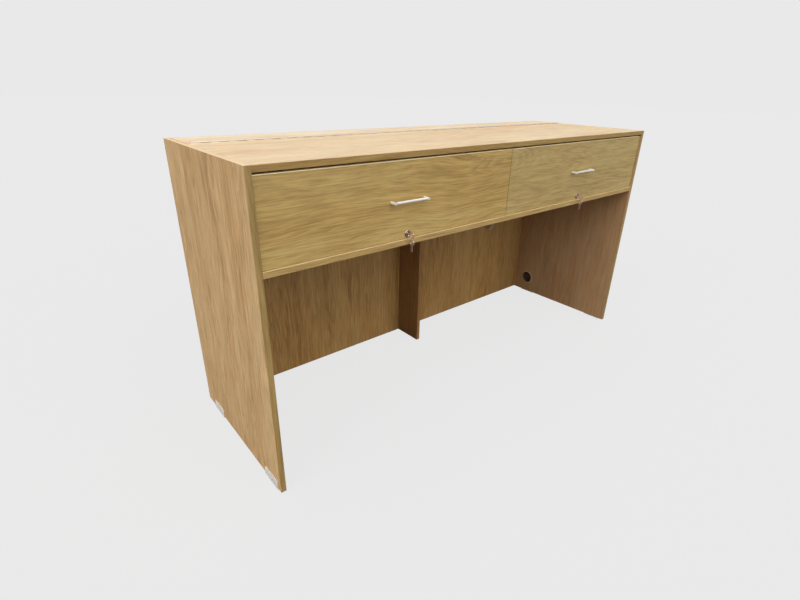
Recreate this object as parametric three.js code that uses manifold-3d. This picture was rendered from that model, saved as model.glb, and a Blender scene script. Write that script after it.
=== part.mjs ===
// Teacher's desk in wood-look board: two end panels, a worktop with two hinged cable flaps behind it,
// a pair of lockable drawers over the knee space, a full-height back panel and a middle support.
// Millimetres, +X to the right, +Y to the back, +Z up. The origin is on the floor, in the middle.

import * as THREE from 'three';
import { mergeVertices } from 'three/addons/utils/BufferGeometryUtils.js';
import Module from 'manifold-3d';

const wasm = await Module();
wasm.setup();

// Driving dimensions
const WIDTH = 1800;
const DEPTH = 580;
const HEIGHT = 925;
const BOARD = 16;
const BAY_HEIGHT = 228;
const FLAP_DEPTH = 160;
const SUPPORT_DEPTH = 135;
const JOINT_GAP = 0.3;

// Drawer fronts
const FRONT_SETBACK = 5;
const GAP_OVER_SHELF = 1.5;
const GAP_UNDER_TOP = 5.5;
const GAP_AT_SIDE = 2;
const GAP_BETWEEN_FRONTS = 2;

// Drawer boxes and their runners
const BOX_BACK_CLEARANCE = 32.8;
const BOX_TOP_CLEARANCE = 37;
const BOX_LIFT = 28;
const BOX_BOARD = 16;
const BOTTOM_SHEET = 4;
const BOTTOM_LIFT = 8;
const GROOVE_DEPTH = 6;
const GROOVE_PLAY = 0.5;
const RUNNER_WIDTH = 12.5;
const RUNNER_HEIGHT = 45;
const RUNNER_SHEET = 1.5;
const RUNNER_STEP = 3.5;
const RUNNER_LIFT = 30;

// Bar handles
const HANDLE_SPACING = 120;
const HANDLE_PROJECTION = 30;
const HANDLE_BAR = 7;
const HANDLE_BEND = 9;
const HANDLE_ABOVE_EDGE = 111;

// Cam locks, their keys and key rings
const LOCK_ABOVE_EDGE = 13;
const LOCK_BODY_RADIUS = 7.75;
const LOCK_RIM_RADIUS = 11;
const LOCK_RIM = 2;
const LOCK_LENGTH = 24;
const LOCK_BORE_CLEARANCE = 0.35;
const PLUG_RADIUS = 5.5;
const RUNNING_CLEARANCE = 0.1;
const CAM_SHEET = 2;
const CAM_WIDTH = 11;
const CAM_REACH = 24;
const CAM_PLAY = 5;
const KEY_SHEET = 2;
const KEY_BOW_RADIUS = 10;
const KEY_EYE_RADIUS = 4.5;
const KEY_EYE_OFFSET = 1.5;
const KEY_BLADE_WIDTH = 7;
const KEY_BLADE_LENGTH = 18;
const KEY_IN_PLUG = 12;
const KEY_PLAY = 0.3;
const RING_RADIUS = 7;
const RING_WIRE = 0.8;

// Strip hinge of the flaps
const HINGE_INSET = 10;
const HINGE_LEAF = 1;
const HINGE_LEAF_HEIGHT = 13;
const HINGE_LEAF_GAP = 0.4;
const KNUCKLE_RADIUS = 2.5;
const PIN_RADIUS = 1.2;
const KNUCKLES_PER_FLAP = 11;
const FLAP_SIDE_GAP = 2;

// Floor glides on the end panels
const GLIDE_BASE = 3;
const GLIDE_WALL = 2;
const GLIDE_LENGTH = 80;
const GLIDE_HEIGHT = 32;
const GLIDE_CORNER = 8;
const GLIDE_FROM_FRONT = 62;
const GLIDE_FROM_BACK = 106;

// Cable ports: one in the back panel and one low in the right end panel
const PORT_FLANGE = 2;
const PORT_WALL = 3.5;
const PORT_CAP = 3;
const BACK_PORT = { x: 600, z: 430, radius: 40 };
const SIDE_PORT = { fromBack: 95, z: 82, radius: 34 };
const SHELF_PORT_RADIUS = 30;

// Places worked out from the sizes above
const HANDLE_REACH = HANDLE_PROJECTION - FRONT_SETBACK;
const BACK_Y = (DEPTH + HANDLE_REACH) / 2;
const FRONT_Y = BACK_Y - DEPTH;
const OUTER_X = WIDTH / 2;
const INNER_X = OUTER_X - BOARD;
const TOP_UNDERSIDE = HEIGHT - BOARD;
const SHELF_TOP = TOP_UNDERSIDE - BAY_HEIGHT;
const SHELF_UNDERSIDE = SHELF_TOP - BOARD;
const PANEL_FACE_Y = BACK_Y - BOARD;
const HINGE_Y = BACK_Y - FLAP_DEPTH;
const HINGE_Z = HEIGHT + KNUCKLE_RADIUS + JOINT_GAP;
const EDGE_TO_HINGE = HINGE_LEAF_GAP / 2 + HINGE_LEAF + JOINT_GAP;
const BAY_BACK_FACE = HINGE_Y - EDGE_TO_HINGE - BOARD;
const DIVIDER_X = BOARD / 2;
const FRONT_FACE = FRONT_Y + FRONT_SETBACK;
const FRONT_REAR = FRONT_FACE + BOARD;
const FRONT_LOW = SHELF_TOP + GAP_OVER_SHELF;
const FRONT_HIGH = TOP_UNDERSIDE - GAP_UNDER_TOP;
const FRONT_CENTRE_X = (INNER_X - GAP_AT_SIDE + GAP_BETWEEN_FRONTS / 2) / 2;
const BOX_LOW = FRONT_LOW + BOX_LIFT;
const BOX_HIGH = TOP_UNDERSIDE - BOX_TOP_CLEARANCE;
const BOX_REAR = BAY_BACK_FACE - BOX_BACK_CLEARANCE;
const SHEET_LOW = BOX_LOW + BOTTOM_LIFT;
const SHEET_HIGH = SHEET_LOW + BOTTOM_SHEET;
const RUNNER_Z = BOX_LOW + RUNNER_LIFT + RUNNER_HEIGHT / 2;
const LOCK_Z = FRONT_LOW + LOCK_ABOVE_EDGE;
const CAM_Y = FRONT_FACE + LOCK_LENGTH;
const BOW_Y = FRONT_FACE - LOCK_RIM - KEY_BLADE_LENGTH + KEY_IN_PLUG - KEY_BOW_RADIUS;
const EYE_Y = BOW_Y - KEY_EYE_OFFSET;
const EYE_DROP = KEY_EYE_RADIUS - RING_WIRE - KEY_PLAY;
const RING_TOP_Z = LOCK_Z - EYE_DROP;
const RING_CENTRE_Z = RING_TOP_Z - RING_RADIUS;
const SPARE_EYE_Z = RING_CENTRE_Z - RING_RADIUS - EYE_DROP;

const BOARD_FINISH = { color: 0xb89a6a, roughness: 0.55, metalness: 0 };
const TOP_FINISH = { color: 0xf2d6ac, roughness: 0.45, metalness: 0 };
const FRONT_FINISH = { color: 0xa38a55, roughness: 0.5, metalness: 0 };
const DARK_BOARD_FINISH = { color: 0x6c5234, roughness: 0.6, metalness: 0 };
const SHEET_FINISH = { color: 0xe4dccb, roughness: 0.7, metalness: 0 };
const ALUMINIUM_FINISH = { color: 0xd6d8da, roughness: 0.3, metalness: 1 };
const STEEL_FINISH = { color: 0xb9bcc0, roughness: 0.35, metalness: 1 };
const BRASS_FINISH = { color: 0xc9b98a, roughness: 0.35, metalness: 1 };
const PALE_PLASTIC_FINISH = { color: 0xe6e4de, roughness: 0.5, metalness: 0 };
const BEIGE_PLASTIC_FINISH = { color: 0xd8b98c, roughness: 0.5, metalness: 0 };
const BLACK_PLASTIC_FINISH = { color: 0x1c1a18, roughness: 0.55, metalness: 0 };

const group = new THREE.Group();

function addPart(name, geometry, finish) {
  const mesh = new THREE.Mesh(geometry, new THREE.MeshStandardMaterial(finish));
  mesh.name = name;
  group.add(mesh);
  return mesh;
}

// A box between two corners
function block(low, high) {
  const size = high.map((value, axis) => value - low[axis]);
  const centre = high.map((value, axis) => (value + low[axis]) / 2);
  return new THREE.BoxGeometry(...size).translate(...centre);
}

// A round bar along X or Y, from one end to the other
function rod(axis, radius, from, to, centre, sides = 32) {
  const bar = new THREE.CylinderGeometry(radius, radius, to - from, sides);
  if (axis === 'x') return bar.rotateZ(Math.PI / 2).translate((from + to) / 2, centre[0], centre[1]);
  return bar.translate(centre[0], (from + to) / 2, centre[1]);
}

function toSolid(geometry) {
  const bare = geometry.clone();
  bare.deleteAttribute('normal');
  bare.deleteAttribute('uv');
  const merged = mergeVertices(bare, 1e-4);
  const vertProperties = new Float32Array(merged.attributes.position.array);
  const triVerts = new Uint32Array(merged.index.array);
  return new wasm.Manifold(new wasm.Mesh({ numProp: 3, vertProperties, triVerts }));
}

function toGeometry(solid) {
  const mesh = solid.getMesh();
  const geometry = new THREE.BufferGeometry();
  geometry.setAttribute('position', new THREE.BufferAttribute(mesh.vertProperties, 3));
  geometry.setIndex(new THREE.BufferAttribute(mesh.triVerts, 1));
  geometry.computeVertexNormals();
  return geometry;
}

function cut(geometry, tools) {
  return toGeometry(tools.reduce((solid, tool) => solid.subtract(toSolid(tool)), toSolid(geometry)));
}

function join(geometries) {
  const [first, ...others] = geometries.map(toSolid);
  return toGeometry(others.reduce((solid, other) => solid.add(other), first));
}

// Swaps the ends of a box's X range, so that one function serves the left and the right half
function mirrored(side, low, high) {
  const [x0, x1] = side < 0 ? [-high[0], -low[0]] : [low[0], high[0]];
  return block([x0, low[1], low[2]], [x1, high[1], high[2]]);
}

function addCarcass() {
  const panelLow = [INNER_X, FRONT_Y, GLIDE_BASE];
  const panelHigh = [OUTER_X, BACK_Y, HEIGHT];
  addPart('left_end_panel', mirrored(-1, panelLow, panelHigh), BOARD_FINISH);
  const sideBore = rod('x', SIDE_PORT.radius, INNER_X - 1, OUTER_X + 1,
    [BACK_Y - SIDE_PORT.fromBack, SIDE_PORT.z], 40);
  addPart('right_end_panel', cut(mirrored(1, panelLow, panelHigh), [sideBore]), BOARD_FINISH);

  const topRear = HINGE_Y - EDGE_TO_HINGE;
  addPart('worktop', block([-INNER_X, FRONT_Y, TOP_UNDERSIDE], [INNER_X, topRear, HEIGHT]), TOP_FINISH);

  const backBore = rod('y', BACK_PORT.radius, PANEL_FACE_Y - 1, BACK_Y + 1,
    [BACK_PORT.x, BACK_PORT.z], 48);
  const backBoard = block([-INNER_X, PANEL_FACE_Y, GLIDE_BASE],
    [INNER_X, BACK_Y, TOP_UNDERSIDE - JOINT_GAP]);
  addPart('back_panel', cut(backBoard, [backBore]), DARK_BOARD_FINISH);

  addPart('middle_support', block([-DIVIDER_X, PANEL_FACE_Y - SUPPORT_DEPTH, GLIDE_BASE],
    [DIVIDER_X, PANEL_FACE_Y, SHELF_UNDERSIDE]), DARK_BOARD_FINISH);

  const shelf = block([-INNER_X, FRONT_Y, SHELF_UNDERSIDE], [INNER_X, PANEL_FACE_Y, SHELF_TOP]);
  const camSlots = [-1, 1].map((side) => block(
    [side * FRONT_CENTRE_X - CAM_REACH - CAM_PLAY, CAM_Y - CAM_PLAY, LOCK_Z - CAM_REACH - CAM_PLAY / 2],
    [side * FRONT_CENTRE_X + CAM_REACH + CAM_PLAY, CAM_Y + CAM_SHEET + CAM_PLAY, SHELF_TOP + 1]));
  const shelfBore = new THREE.CylinderGeometry(SHELF_PORT_RADIUS, SHELF_PORT_RADIUS, 2 * BOARD, 40)
    .rotateX(Math.PI / 2)
    .translate(BACK_PORT.x, (HINGE_Y + PANEL_FACE_Y) / 2, SHELF_UNDERSIDE + BOARD / 2);
  addPart('shelf', cut(shelf, [...camSlots, shelfBore]), FRONT_FINISH);

  addPart('bay_back_board', block([-INNER_X, BAY_BACK_FACE, SHELF_TOP],
    [INNER_X, BAY_BACK_FACE + BOARD, TOP_UNDERSIDE]), DARK_BOARD_FINISH);
  addPart('bay_divider', block([-DIVIDER_X, FRONT_REAR + 1, SHELF_TOP],
    [DIVIDER_X, BAY_BACK_FACE, TOP_UNDERSIDE]), DARK_BOARD_FINISH);
}

function knuckle(x0, x1) {
  const inner = PIN_RADIUS + RUNNING_CLEARANCE;
  const profile = [[inner, x0], [KNUCKLE_RADIUS, x0], [KNUCKLE_RADIUS, x1], [inner, x1], [inner, x0]];
  return new THREE.LatheGeometry(profile.map(([r, h]) => new THREE.Vector2(r, h)), 12)
    .rotateZ(-Math.PI / 2)
    .translate(0, HINGE_Y, HINGE_Z);
}

// One leaf: a flat strip on a board's edge, with a tab under each of its own knuckles
function hingeLeaf(side, x0, x1, knuckles) {
  const faces = [HINGE_LEAF_GAP / 2, EDGE_TO_HINGE - JOINT_GAP].map((offset) => HINGE_Y + side * offset);
  const [y0, y1] = faces.sort((a, b) => a - b);
  const stripTop = HEIGHT - JOINT_GAP;
  const strip = block([x0, y0, HEIGHT - HINGE_LEAF_HEIGHT], [x1, y1, stripTop]);
  const tabTop = HINGE_Z - PIN_RADIUS - 2 * RUNNING_CLEARANCE;
  const tabs = knuckles.map(([k0, k1]) => block([k0, y0, stripTop - 1], [k1, y1, tabTop]));
  return join([strip, ...tabs, ...knuckles.map(([k0, k1]) => knuckle(k0, k1))]);
}

function addFlapsAndHinge() {
  const span = INNER_X - HINGE_INSET - FLAP_SIDE_GAP;
  const pitch = span / KNUCKLES_PER_FLAP;
  const knuckleRow = (side) => [...Array(KNUCKLES_PER_FLAP).keys()].map((index) => {
    const ends = [FLAP_SIDE_GAP + index * pitch + JOINT_GAP, FLAP_SIDE_GAP + (index + 1) * pitch - JOINT_GAP];
    return side < 0 ? [-ends[1], -ends[0]] : ends;
  });
  const fixed = [];
  for (const [side, name] of [[-1, 'left'], [1, 'right']]) {
    const row = knuckleRow(side);
    fixed.push(...row.filter((_, index) => index % 2 === 0));
    const leafEnds = [FLAP_SIDE_GAP, FLAP_SIDE_GAP + span];
    const [x0, x1] = side < 0 ? [-leafEnds[1], -leafEnds[0]] : leafEnds;
    const moving = row.filter((_, index) => index % 2 === 1);
    addPart(`${name}_flap_hinge_leaf`, hingeLeaf(1, x0, x1, moving), ALUMINIUM_FINISH);
    addPart(`${name}_flap`, mirrored(side,
      [FLAP_SIDE_GAP / 2, HINGE_Y + EDGE_TO_HINGE, TOP_UNDERSIDE],
      [INNER_X - FLAP_SIDE_GAP, BACK_Y, HEIGHT]), TOP_FINISH);
  }
  const reach = FLAP_SIDE_GAP + span;
  addPart('worktop_hinge_leaf', hingeLeaf(-1, -reach, reach, fixed), ALUMINIUM_FINISH);
  addPart('hinge_pin', rod('x', PIN_RADIUS, -reach, reach, [HINGE_Y, HINGE_Z], 12), STEEL_FINISH);
}

// Rounded U outline in plan, from one foot of the handle to the other
function handleBar(centreX, centreZ) {
  const half = (HANDLE_SPACING + HANDLE_BAR) / 2;
  const inside = half - HANDLE_BAR;
  const innerBend = HANDLE_BEND - HANDLE_BAR;
  const reach = HANDLE_PROJECTION;
  const outline = new THREE.Shape();
  outline.moveTo(-half, 0);
  outline.lineTo(-inside, 0);
  outline.lineTo(-inside, HANDLE_BAR + innerBend - reach);
  outline.absarc(-inside + innerBend, HANDLE_BAR + innerBend - reach, innerBend, Math.PI, 1.5 * Math.PI);
  outline.lineTo(inside - innerBend, HANDLE_BAR - reach);
  outline.absarc(inside - innerBend, HANDLE_BAR + innerBend - reach, innerBend, 1.5 * Math.PI, 2 * Math.PI);
  outline.lineTo(inside, 0);
  outline.lineTo(half, 0);
  outline.lineTo(half, HANDLE_BEND - reach);
  outline.absarc(half - HANDLE_BEND, HANDLE_BEND - reach, HANDLE_BEND, 0, -0.5 * Math.PI, true);
  outline.lineTo(HANDLE_BEND - half, -reach);
  outline.absarc(HANDLE_BEND - half, HANDLE_BEND - reach, HANDLE_BEND, -0.5 * Math.PI, -Math.PI, true);
  outline.lineTo(-half, 0);
  return new THREE.ExtrudeGeometry(outline, { depth: HANDLE_BAR, bevelEnabled: false, curveSegments: 6 })
    .translate(centreX, FRONT_FACE, centreZ - HANDLE_BAR / 2);
}

// Key in its own plane: the blade runs along +X from the bow, whose centre is at the origin
function keyGeometry(bladeLength) {
  const halfBlade = KEY_BLADE_WIDTH / 2;
  const corner = Math.asin(halfBlade / KEY_BOW_RADIUS);
  const bladeEnd = KEY_BOW_RADIUS + bladeLength;
  const outline = new THREE.Shape();
  outline.absarc(0, 0, KEY_BOW_RADIUS, corner, 2 * Math.PI - corner);
  outline.lineTo(bladeEnd - halfBlade / 2, -halfBlade);
  outline.lineTo(bladeEnd, 0);
  outline.lineTo(bladeEnd - halfBlade / 2, halfBlade);
  outline.closePath();
  const eye = new THREE.Path();
  eye.absarc(-KEY_EYE_OFFSET, 0, KEY_EYE_RADIUS, 0, 2 * Math.PI, true);
  outline.holes.push(eye);
  return new THREE.ExtrudeGeometry(outline, { depth: KEY_SHEET, bevelEnabled: false, curveSegments: 12 })
    .translate(0, 0, -KEY_SHEET / 2);
}

// Stands the key's plane upright, edge-on to the front, with the blade along the given direction
function placeKey(geometry, blade, side, centre) {
  const basis = new THREE.Matrix4().makeBasis(blade, side, blade.clone().cross(side));
  return geometry.applyMatrix4(basis).translate(...centre);
}

function addLock(name, x) {
  const inner = PLUG_RADIUS + RUNNING_CLEARANCE;
  const profile = [[inner, -LOCK_RIM], [LOCK_RIM_RADIUS - 1, -LOCK_RIM], [LOCK_RIM_RADIUS, 1 - LOCK_RIM],
    [LOCK_RIM_RADIUS, 0], [LOCK_BODY_RADIUS, 0], [LOCK_BODY_RADIUS, LOCK_LENGTH], [inner, LOCK_LENGTH],
    [inner, -LOCK_RIM]];
  const body = new THREE.LatheGeometry(profile.map(([r, h]) => new THREE.Vector2(r, h)), 32)
    .translate(x, FRONT_FACE, LOCK_Z);
  addPart(`${name}_lock_body`, body, STEEL_FINISH);

  const plug = rod('y', PLUG_RADIUS, FRONT_FACE - LOCK_RIM, CAM_Y, [x, LOCK_Z]);
  const halfSlot = KEY_SHEET / 2 + KEY_PLAY;
  const slotDepth = KEY_IN_PLUG + KEY_PLAY;
  const halfSlotHeight = KEY_BLADE_WIDTH / 2 + KEY_PLAY;
  const keyway = block([x - halfSlot, FRONT_FACE - LOCK_RIM - 1, LOCK_Z - halfSlotHeight],
    [x + halfSlot, FRONT_FACE - LOCK_RIM + slotDepth, LOCK_Z + halfSlotHeight]);
  addPart(`${name}_lock_plug`, cut(plug, [keyway]), STEEL_FINISH);

  const halfCam = CAM_WIDTH / 2;
  const camOutline = new THREE.Shape();
  camOutline.absarc(0, 0, halfCam, 0.5 * Math.PI, 1.5 * Math.PI);
  camOutline.lineTo(CAM_REACH - 2, -halfCam);
  camOutline.lineTo(CAM_REACH, -halfCam + 2);
  camOutline.lineTo(CAM_REACH, halfCam);
  camOutline.closePath();
  const cam = new THREE.ExtrudeGeometry(camOutline, { depth: CAM_SHEET, bevelEnabled: false, curveSegments: 8 })
    .rotateX(Math.PI / 2)
    .translate(x, CAM_Y + CAM_SHEET, LOCK_Z);
  addPart(`${name}_lock_cam`, cam, STEEL_FINISH);

  const inward = new THREE.Vector3(0, 1, 0);
  const up = new THREE.Vector3(0, 0, 1);
  addPart(`${name}_key`, placeKey(keyGeometry(KEY_BLADE_LENGTH), inward, up, [x, BOW_Y, LOCK_Z]), BRASS_FINISH);
  const ring = new THREE.TorusGeometry(RING_RADIUS, RING_WIRE, 8, 28)
    .rotateX(Math.PI / 2)
    .translate(x, EYE_Y, RING_CENTRE_Z);
  addPart(`${name}_key_ring`, ring, STEEL_FINISH);
  const down = new THREE.Vector3(0, 0, -1);
  addPart(`${name}_spare_key`, placeKey(keyGeometry(KEY_BLADE_LENGTH), down, inward,
    [x, EYE_Y, SPARE_EYE_Z - KEY_EYE_OFFSET]), BRASS_FINISH);
}

function addDrawer(side, name) {
  const wallX = INNER_X - RUNNER_WIDTH;
  const dividerX = DIVIDER_X + RUNNER_WIDTH;
  const grooveLow = SHEET_LOW - GROOVE_PLAY / 2;
  const grooveHigh = SHEET_HIGH + GROOVE_PLAY / 2;
  const x = side * FRONT_CENTRE_X;

  const front = mirrored(side, [GAP_BETWEEN_FRONTS / 2, FRONT_FACE, FRONT_LOW],
    [INNER_X - GAP_AT_SIDE, FRONT_REAR, FRONT_HIGH]);
  const lockBore = rod('y', LOCK_BODY_RADIUS + LOCK_BORE_CLEARANCE, FRONT_FACE - 1, FRONT_REAR + 1, [x, LOCK_Z]);
  const groove = mirrored(side, [dividerX + BOX_BOARD - GROOVE_DEPTH, FRONT_REAR - GROOVE_DEPTH, grooveLow],
    [wallX - BOX_BOARD + GROOVE_DEPTH, FRONT_REAR + 1, grooveHigh]);
  addPart(`${name}_drawer_front`, cut(front, [lockBore, groove]), FRONT_FINISH);

  const sideGroove = mirrored(side, [dividerX + BOX_BOARD - GROOVE_DEPTH, FRONT_REAR - 1, grooveLow],
    [wallX - BOX_BOARD + GROOVE_DEPTH, BOX_REAR + 1, grooveHigh]);
  const outerSide = mirrored(side, [wallX - BOX_BOARD, FRONT_REAR, BOX_LOW], [wallX, BOX_REAR, BOX_HIGH]);
  const innerSide = mirrored(side, [dividerX, FRONT_REAR, BOX_LOW], [dividerX + BOX_BOARD, BOX_REAR, BOX_HIGH]);
  addPart(`${name}_drawer_outer_side`, cut(outerSide, [sideGroove]), SHEET_FINISH);
  addPart(`${name}_drawer_inner_side`, cut(innerSide, [sideGroove]), SHEET_FINISH);
  addPart(`${name}_drawer_back`, mirrored(side,
    [dividerX + BOX_BOARD, BOX_REAR - BOX_BOARD, SHEET_HIGH + GROOVE_PLAY / 2],
    [wallX - BOX_BOARD, BOX_REAR, BOX_HIGH]), SHEET_FINISH);
  const inGroove = GROOVE_DEPTH - GROOVE_PLAY;
  addPart(`${name}_drawer_bottom`, mirrored(side,
    [dividerX + BOX_BOARD - inGroove, FRONT_REAR - inGroove, SHEET_LOW],
    [wallX - BOX_BOARD + inGroove, BOX_REAR, SHEET_HIGH]), SHEET_FINISH);

  addPart(`${name}_drawer_handle`, handleBar(x, FRONT_LOW + HANDLE_ABOVE_EDGE), ALUMINIUM_FINISH);
  addLock(name, x);
}

// A C-shaped channel along Y, open towards the given side, from its web at x0 to its lips at x1
function channel(x0, x1, halfHeight) {
  const open = x1 > x0 ? 1 : -1;
  const [y0, y1] = [FRONT_REAR + 1, BOX_REAR];
  const hollow = halfHeight - RUNNER_SHEET;
  const outer = block([Math.min(x0, x1), y0, RUNNER_Z - halfHeight], [Math.max(x0, x1), y1, RUNNER_Z + halfHeight]);
  const web = x0 + open * RUNNER_SHEET;
  const beyond = x1 + open;
  const inner = block([Math.min(web, beyond), y0 - 1, RUNNER_Z - hollow],
    [Math.max(web, beyond), y1 + 1, RUNNER_Z + hollow]);
  return cut(outer, [inner]);
}

// Three nested members: fixed on the carcass, a middle one, and one on the drawer's side
function addRunner(name, carcassX, towardsDrawer) {
  const at = (offset) => carcassX + towardsDrawer * offset;
  const halfHeight = RUNNER_HEIGHT / 2;
  addPart(`${name}_fixed_member`, channel(at(0), at(RUNNER_WIDTH - RUNNER_STEP), halfHeight), STEEL_FINISH);
  addPart(`${name}_middle_member`, channel(at(RUNNER_STEP), at(RUNNER_WIDTH - 2), halfHeight - RUNNER_STEP),
    STEEL_FINISH);
  addPart(`${name}_drawer_member`, channel(at(RUNNER_WIDTH), at(2 * RUNNER_STEP), halfHeight - 2 * RUNNER_STEP),
    STEEL_FINISH);
}

function addDrawersAndRunners() {
  for (const [side, name] of [[-1, 'left'], [1, 'right']]) {
    addDrawer(side, name);
    addRunner(`${name}_outer_runner`, side * INNER_X, -side);
    addRunner(`${name}_inner_runner`, side * DIVIDER_X, side);
  }
}

// L-shaped glide under an end panel, with a wall up its outer face
function glide(side, centreY) {
  const half = GLIDE_LENGTH / 2;
  const thickness = BOARD + GLIDE_WALL;
  const outline = new THREE.Shape();
  outline.moveTo(-half, 0);
  outline.lineTo(half, 0);
  outline.lineTo(half, GLIDE_HEIGHT - GLIDE_CORNER);
  outline.absarc(half - GLIDE_CORNER, GLIDE_HEIGHT - GLIDE_CORNER, GLIDE_CORNER, 0, 0.5 * Math.PI);
  outline.lineTo(GLIDE_CORNER - half, GLIDE_HEIGHT);
  outline.absarc(GLIDE_CORNER - half, GLIDE_HEIGHT - GLIDE_CORNER, GLIDE_CORNER, 0.5 * Math.PI, Math.PI);
  outline.closePath();
  const basis = new THREE.Matrix4().makeBasis(new THREE.Vector3(0, 1, 0), new THREE.Vector3(0, 0, 1),
    new THREE.Vector3(1, 0, 0));
  const lowX = side > 0 ? INNER_X : -OUTER_X - GLIDE_WALL;
  const plate = new THREE.ExtrudeGeometry(outline, { depth: thickness, bevelEnabled: false, curveSegments: 6 })
    .applyMatrix4(basis)
    .translate(lowX, centreY, 0);
  const abovePanelEdge = mirrored(side, [INNER_X - 1, centreY - GLIDE_LENGTH, GLIDE_BASE],
    [OUTER_X, centreY + GLIDE_LENGTH, 2 * GLIDE_HEIGHT]);
  return cut(plate, [abovePanelEdge]);
}

function addGlides() {
  for (const [side, name] of [[-1, 'left'], [1, 'right']]) {
    addPart(`${name}_front_glide`, glide(side, FRONT_Y + GLIDE_FROM_FRONT), PALE_PLASTIC_FINISH);
    addPart(`${name}_back_glide`, glide(side, BACK_Y - GLIDE_FROM_BACK), PALE_PLASTIC_FINISH);
  }
}

// Flanged sleeve and recessed cap, turned about +Y with the flange at the low end
function portLiner(radius) {
  const outer = radius - JOINT_GAP;
  const inner = radius - PORT_WALL;
  const flange = radius + PORT_WALL;
  const profile = [[inner, -PORT_FLANGE], [flange - 1, -PORT_FLANGE], [flange, 1 - PORT_FLANGE], [flange, 0],
    [outer, 0], [outer, BOARD], [inner, BOARD], [inner, -PORT_FLANGE]];
  return new THREE.LatheGeometry(profile.map(([r, h]) => new THREE.Vector2(r, h)), 40);
}

function portCap(radius) {
  const capRadius = radius - PORT_WALL - JOINT_GAP;
  const disc = new THREE.CylinderGeometry(capRadius, capRadius, PORT_CAP, 40).translate(0, BOARD - PORT_CAP, 0);
  const notchHalf = capRadius / 4;
  const notch = block([-notchHalf, 0, -capRadius - 1], [notchHalf, 2 * BOARD, -capRadius * 0.7]);
  return cut(disc, [notch]);
}

function addPorts() {
  const backPlace = [BACK_PORT.x, PANEL_FACE_Y, BACK_PORT.z];
  addPart('back_port_liner', portLiner(BACK_PORT.radius).translate(...backPlace), BEIGE_PLASTIC_FINISH);
  addPart('back_port_cap', portCap(BACK_PORT.radius).translate(...backPlace), BLACK_PLASTIC_FINISH);
  const sidePlace = [INNER_X, BACK_Y - SIDE_PORT.fromBack, SIDE_PORT.z];
  addPart('side_port_liner', portLiner(SIDE_PORT.radius).rotateZ(-Math.PI / 2).translate(...sidePlace),
    BEIGE_PLASTIC_FINISH);
  addPart('side_port_cap', portCap(SIDE_PORT.radius).rotateZ(-Math.PI / 2).translate(...sidePlace),
    BLACK_PLASTIC_FINISH);
}

addCarcass();
addFlapsAndHinge();
addDrawersAndRunners();
addGlides();
addPorts();

export default group;
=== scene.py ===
"""Teacher's desk in oak-look board, with two lockable drawers and two hinged cable flaps.

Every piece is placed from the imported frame, in metres: X to the right, Y to the back, Z up.
"""
import math
import bpy
from mathutils import Matrix, Vector


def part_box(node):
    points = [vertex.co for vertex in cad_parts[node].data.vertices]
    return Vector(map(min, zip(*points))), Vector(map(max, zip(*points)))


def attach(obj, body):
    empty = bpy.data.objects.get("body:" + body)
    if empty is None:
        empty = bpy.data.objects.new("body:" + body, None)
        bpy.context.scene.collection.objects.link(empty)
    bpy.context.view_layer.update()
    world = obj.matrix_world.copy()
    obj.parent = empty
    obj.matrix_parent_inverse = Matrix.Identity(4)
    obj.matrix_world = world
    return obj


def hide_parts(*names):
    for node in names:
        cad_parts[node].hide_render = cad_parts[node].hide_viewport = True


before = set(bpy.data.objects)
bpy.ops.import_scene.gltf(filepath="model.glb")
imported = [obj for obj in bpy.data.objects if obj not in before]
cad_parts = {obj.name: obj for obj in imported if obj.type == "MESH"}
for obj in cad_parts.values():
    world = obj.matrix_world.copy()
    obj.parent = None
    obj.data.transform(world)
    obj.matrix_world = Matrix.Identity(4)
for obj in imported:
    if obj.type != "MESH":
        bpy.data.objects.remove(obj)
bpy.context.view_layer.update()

MM = 0.001
X_AXIS, Y_AXIS, Z_AXIS = Vector((1, 0, 0)), Vector((0, 1, 0)), Vector((0, 0, 1))
SIDES = (("left", -1), ("right", 1))
NEAR = 1e-5

# Board work
BAND = 2.0 * MM
BAND_ROUND = 0.8 * MM
FRONT_TOP_ROUND = 1.4 * MM
BOARD_EASE = 0.35 * MM
BAND_SEAM = 0.15 * MM
BAND_GAP = 0.1 * MM
BAND_LINE = 0.02 * MM
GROOVE_SIDE = 0.5 * MM
GROOVE_PLAY = 0.25 * MM
CABLE_HOLE_RADIUS = 30 * MM
CABLE_HOLE_LEAD = 1.2 * MM
BEYOND = 20 * MM

# Locks and handles
LOCK_BORE = 8.1 * MM
LOCK_BARREL = 7.75 * MM
LOCK_THREADS = 14
KEYWAY_HALF_WIDTH = 1.3 * MM
KEYWAY_HALF_HEIGHT = 3.8 * MM
CAM_REACH = 24 * MM
CAM_ROOM = 5 * MM
KEY_BOW = 10 * MM
HANDLE_CORNER = 2.9 * MM
HANDLE_BEND = 9 * MM

# Hinge, runners and ports
HINGE_KNUCKLES = 33
KNUCKLE_PLAY = 0.15 * MM
HINGE_SCREWS = 9
LEAF_CLEAR = 0.2 * MM
RUNNER_SHEET = 1.5 * MM
RUNNER_SCREW_SHARES = (0.06, 0.5, 0.93)
PORT_LAP = 3.5 * MM
PORT_WALL = 3.5 * MM

# Meshes
TURN_STEPS = 40
FLAT_AREA = 4e-4


# ---------------------------------------------------------------- shop tools

def deselect_all():
    bpy.ops.object.select_all(action="DESELECT")


def pick(piece):
    """Leaves one piece selected and active."""
    deselect_all()
    piece.select_set(True)
    bpy.context.view_layer.objects.active = piece
    return piece


def named(name):
    piece = bpy.context.active_object
    piece.name = name
    piece.data.name = name
    return piece


def settle(piece):
    """Puts a piece's place, turn and size into its mesh."""
    pick(piece)
    bpy.ops.object.transform_apply(location=True, rotation=True, scale=True)
    return piece


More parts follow.
